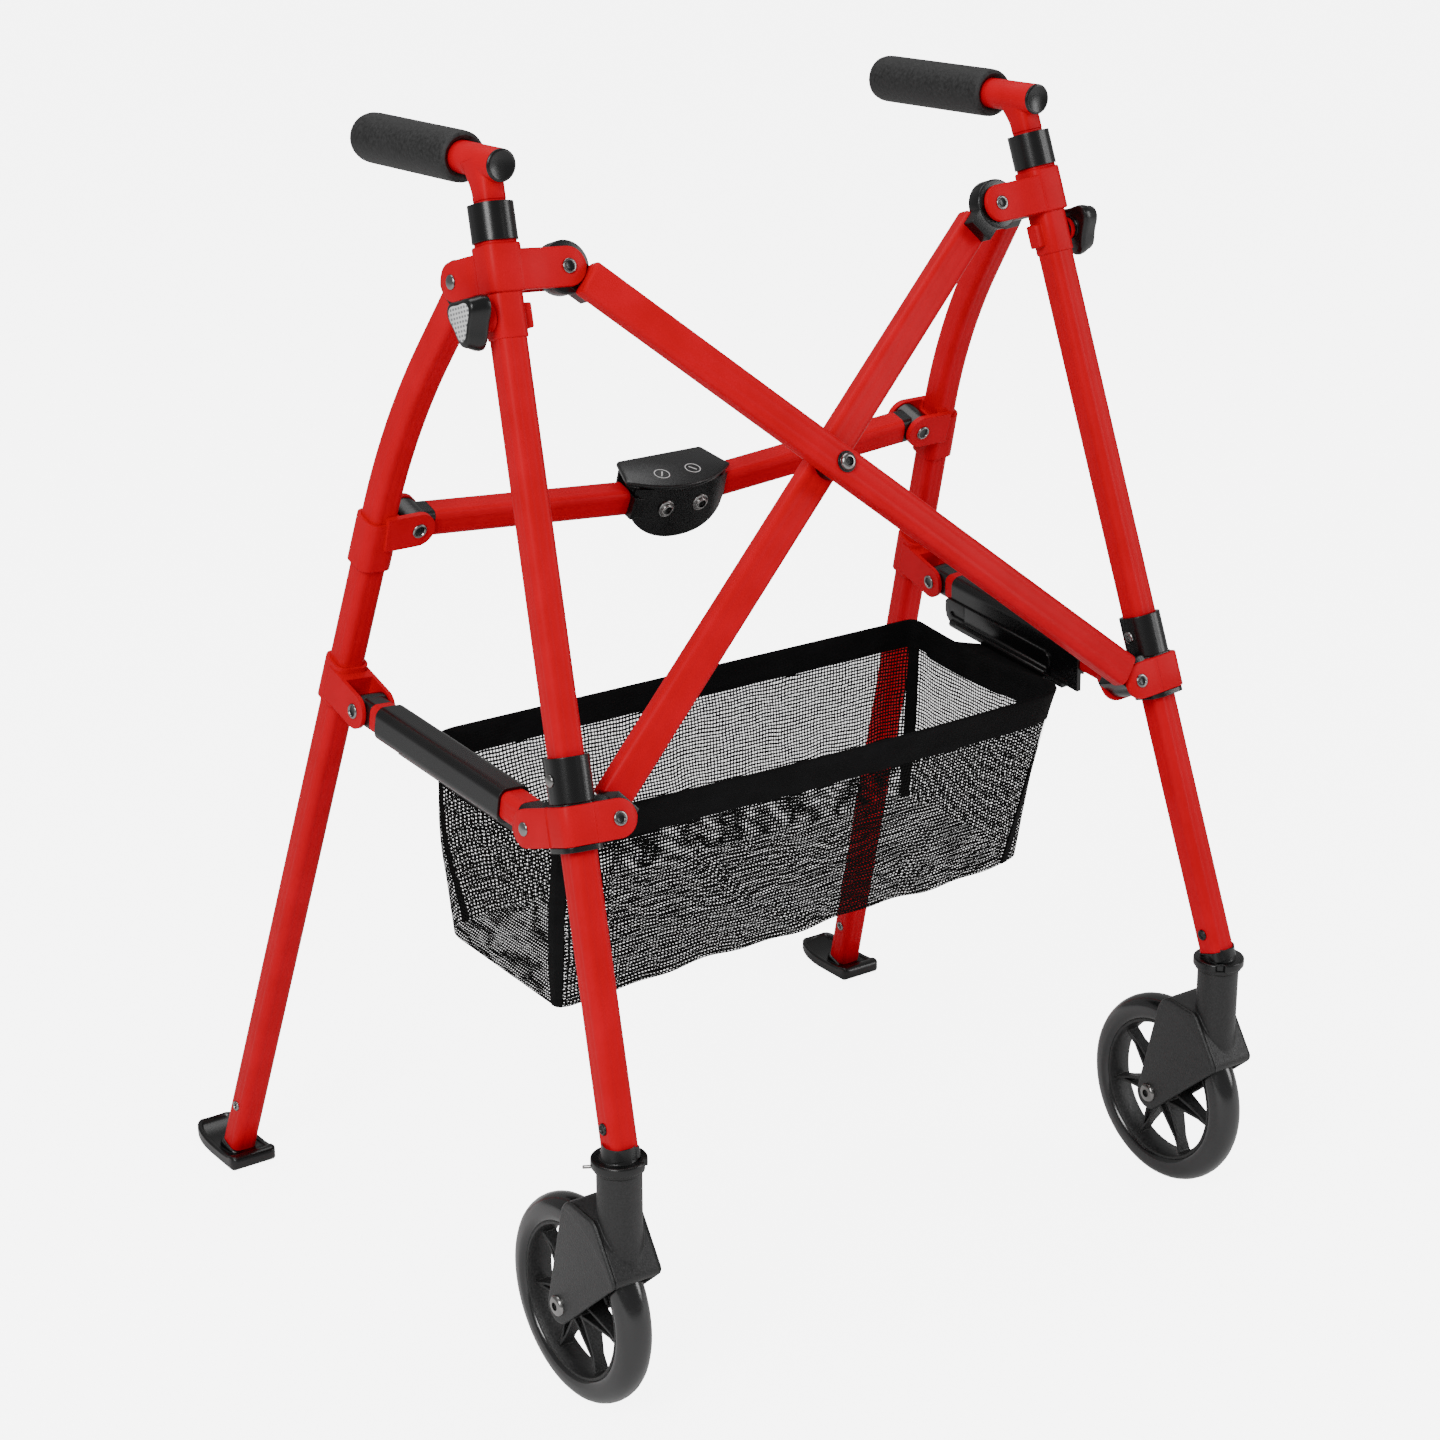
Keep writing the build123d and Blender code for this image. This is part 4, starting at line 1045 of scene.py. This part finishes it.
def floor_height(x, y, edge=False):
    """The floor hangs lowest in the middle and at the right-hand end."""
    across = 1 - min(1.0, abs((y - 220) / 92.0)) ** 2
    along = 1 - min(1.0, abs(x / 240.0)) ** 2
    dip = 0.0 if edge else 7.0 * across * along
    wave = 1.6 * math.sin(x / 23.0) + 1.2 * math.sin(x / 9.5 + 1.0)
    corner = 6.0 * max(0.0, (-x - 205.0) / 35.0)
    return BASE_HEIGHT - dip + wave * 0.8 - corner


def basket_net():
    """Walls and floor of the net; the floor's rings close on a line, 0.35 of its length."""
    build = Build()
    wall_depth = 146.0
    rings = [[wall_point(j, i / DOWN) for j in range(AROUND)] for i in range(DOWN + 1)]
    build.grid(rings, NET, closed=True, uvs=lambda i, j: (rim_total * j / AROUND, wall_depth * i / DOWN))
    steps = 16
    centre = Vector((-16, 220))
    inner = [rings[-1]]
    for k in range(1, steps + 1):
        share = k / steps
        ring = []
        for edge in rings[-1]:
            plan_y = edge.y - SHIFT_Y
            x = edge.x + (centre.x - edge.x) * (1 - 0.35) * share
            y = plan_y + (centre.y - plan_y) * share
            z = floor_height(edge.x, plan_y, True) * (1 - share) + floor_height(x, y) * share
            ring.append(Vector((x, y + SHIFT_Y, z)))
        inner.append(ring)
    start = len(build.bm.faces)
    build.grid(inner, NET, closed=True)
    build.bm.faces.ensure_lookup_table()
    for face in build.bm.faces[start:]:
        for loop in face.loops:
            loop[build.uv].uv = (loop.vert.co.x / MM, loop.vert.co.y / MM)
    bmesh.ops.remove_doubles(build.bm, verts=build.bm.verts, dist=0.02 * MM)
    return build


def basket_band():
    """Folded binding round the rim, lower at the front and ends than at the rear."""
    build = Build()
    rings = []
    steps = 5
    for j in range(AROUND + 1):
        reach = 0.145 if rim_loop[j % AROUND].y > 300 else 0.165
        ring = [wall_point(j, reach * (1 - n / steps), 1.1) for n in range(steps)]
        ring.append(wall_point(j, 0.0, 1.1))
        ring.append(wall_point(j, 0.0) + Vector((0, 0, 1.4)))
        ring += [wall_point(j, reach * n / steps, -1.1) for n in range(steps + 1)]
        rings.append(ring)
    build.grid(rings, TAPE, closed=True, uvs=lambda a, b: (a * 2.4, b * 4.0))
    return build


def corner_index(x, y):
    """Step round the rim closest to a plan point."""
    return min(range(AROUND), key=lambda j: (rim_loop[j] - Vector((x, y))).length)


def basket_seams(build):
    """Ribbed tapes down the four corners; the last number is half a tape's width."""
    step = rim_total / AROUND
    for x, y, wide in ((-241, 122, 5.0), (212, 128, 3.2), (222, 316, 3.8), (-238, 312, 2.0)):
        j = corner_index(x, y)
        share = min(1.0, wide / step)
        for side in (1.0, -1.0):
            rings = []
            for i in range(DOWN + 1):
                depth = 0.12 + 0.88 * i / DOWN
                spine = wall_point(j, depth, 0.7 * side)
                edges = [spine.lerp(wall_point(j + k, depth, 0.7 * side), share) for k in (-1, 1)]
                rings.append([edges[0], spine, edges[1]])
            build.grid(rings, TAPE, uvs=lambda a, b: (b * 2.2, a * 4.5))


def basket_tabs(build):
    """Fabric between the rails' rolled edges and the rim at both ends of the basket."""
    across, up = 14, 5
    for side in (-1, 1):
        rings = []
        for n in range(across + 1):
            share = n / across
            edge = (LINK @ Vector((14.6, 27.2, RAIL_START + 8 + share * (LINK_LEN - 152)))) / MM
            top = Vector((-side * edge.x, edge.y, edge.z))
            low = wall_point(corner_index(side * 230, 134 + 150 * share), 0.03)
            sag = [Vector((-side * 1.6 * math.sin(math.pi * i / up), 0, 0)) for i in range(up + 1)]
            rings.append([top.lerp(low, i / up) + sag[i] for i in range(up + 1)])
        build.grid(rings, TAPE, uvs=lambda a, b: (a * 9.0, b * 4.0))


def basket():
    """Both pieces ride the right-hand side bar as the frame folds."""
    pieces = [basket_net().single("basket_net", "right_side_bar", ["basket"], 180)]
    band = basket_band()
    basket_seams(band)
    basket_tabs(band)
    pieces.append(band.single("basket_binding", "right_side_bar", (), 60))
    for piece in pieces:
        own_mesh(piece)


basket()


# ---- stage ----
BACKDROP, SHADED_THROUGH_NET = 6.0, 1.0               # the floor's brightness to the camera, bare and through the net; the dimmer value through the net is painted shade behind the basket


def stage_floor():
    """Pale floor that sinks with the left heel, so nothing is hidden when the frame is folded."""
    n = Nodes("floor")
    coords = n.add("ShaderNodeTexCoord").outputs["Object"]
    cloud = n.noise(coords, 1.5, 2.0)
    colour = n.blend(cloud, (0.90, 0.90, 0.90), (0.94, 0.94, 0.94))
    path = n.add("ShaderNodeLightPath").outputs
    # Painted shade: the floor glows six times dimmer where the camera sees it through the net.
    through = n.math("GREATER_THAN", path["Transparent Depth"], 0.5)
    glow = n.math("SUBTRACT", BACKDROP, n.math("MULTIPLY", through, BACKDROP - SHADED_THROUGH_NET))
    n.finish(Base_Color=colour, Roughness=0.7, Emission_Color=(1.0, 1.0, 1.0, 1.0),
             Emission_Strength=n.math("MULTIPLY", path["Is Camera Ray"], glow))
    build = Build()
    far = 30000
    build.grid([[(-far, -far, 0), (far, -far, 0)], [(-far, far, 0), (far, far, 0)]], n.mat)
    mesh = bpy.data.meshes.new("floor")
    build.bm.to_mesh(mesh)
    mesh.materials.append(n.mat)
    floor = bpy.data.objects.new("floor", mesh)
    bpy.context.scene.collection.objects.link(floor)
    low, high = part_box("left_foot")
    heel = bpy.data.objects.new("floor_level", None)
    heel.parent = frame["bodies"]["left_rear_leg"]
    heel.location = ((low.x + high.x) / 2, high.y, low.z)
    bpy.context.scene.collection.objects.link(heel)
    sink = floor.constraints.new("COPY_LOCATION")
    sink.target = heel
    sink.use_x = sink.use_y = False


def area_light(name, place, target, size, power):
    data = bpy.data.lights.new(name, "AREA")
    data.shape = "RECTANGLE"
    data.size, data.size_y = size
    data.energy = power
    lamp = bpy.data.objects.new(name, data)
    lamp.location = place
    lamp.rotation_euler = (Vector(target) - Vector(place)).to_track_quat("-Z", "Y").to_euler()
    bpy.context.scene.collection.objects.link(lamp)


def studio():
    world = bpy.data.worlds.new("studio")
    world.use_nodes = True
    world.node_tree.nodes["Background"].inputs[0].default_value = (1.0, 1.0, 1.0, 1.0)
    world.node_tree.nodes["Background"].inputs[1].default_value = 0.33
    bpy.context.scene.world = world
    area_light("key", (-2.4, -1.6, 2.4), (0, 0, 0.4), (1.2, 1.6), 85)
    area_light("fill", (2.4, -2.0, 1.4), (0, 0, 0.4), (0.8, 2.0), 30)
    area_light("top", (0.0, 0.8, 3.0), (0, 0, 0.4), (2.5, 1.2), 30)


def camera():
    data = bpy.data.cameras.new("photo_view")
    data.lens = 78.87
    data.sensor_width = 36.0
    data.shift_x, data.shift_y = -0.0172, -0.0067
    cam = bpy.data.objects.new("photo_view", data)
    turn = Matrix.Rotation(math.radians(-35.9), 4, "Z") @ Matrix.Rotation(math.radians(90 - 19.98), 4, "X")
    cam.matrix_world = Matrix.Translation((-1.2972, -1.81889, 1.1953)) @ turn
    bpy.context.scene.collection.objects.link(cam)
    bpy.context.scene.camera = cam


stage_floor()
studio()
camera()
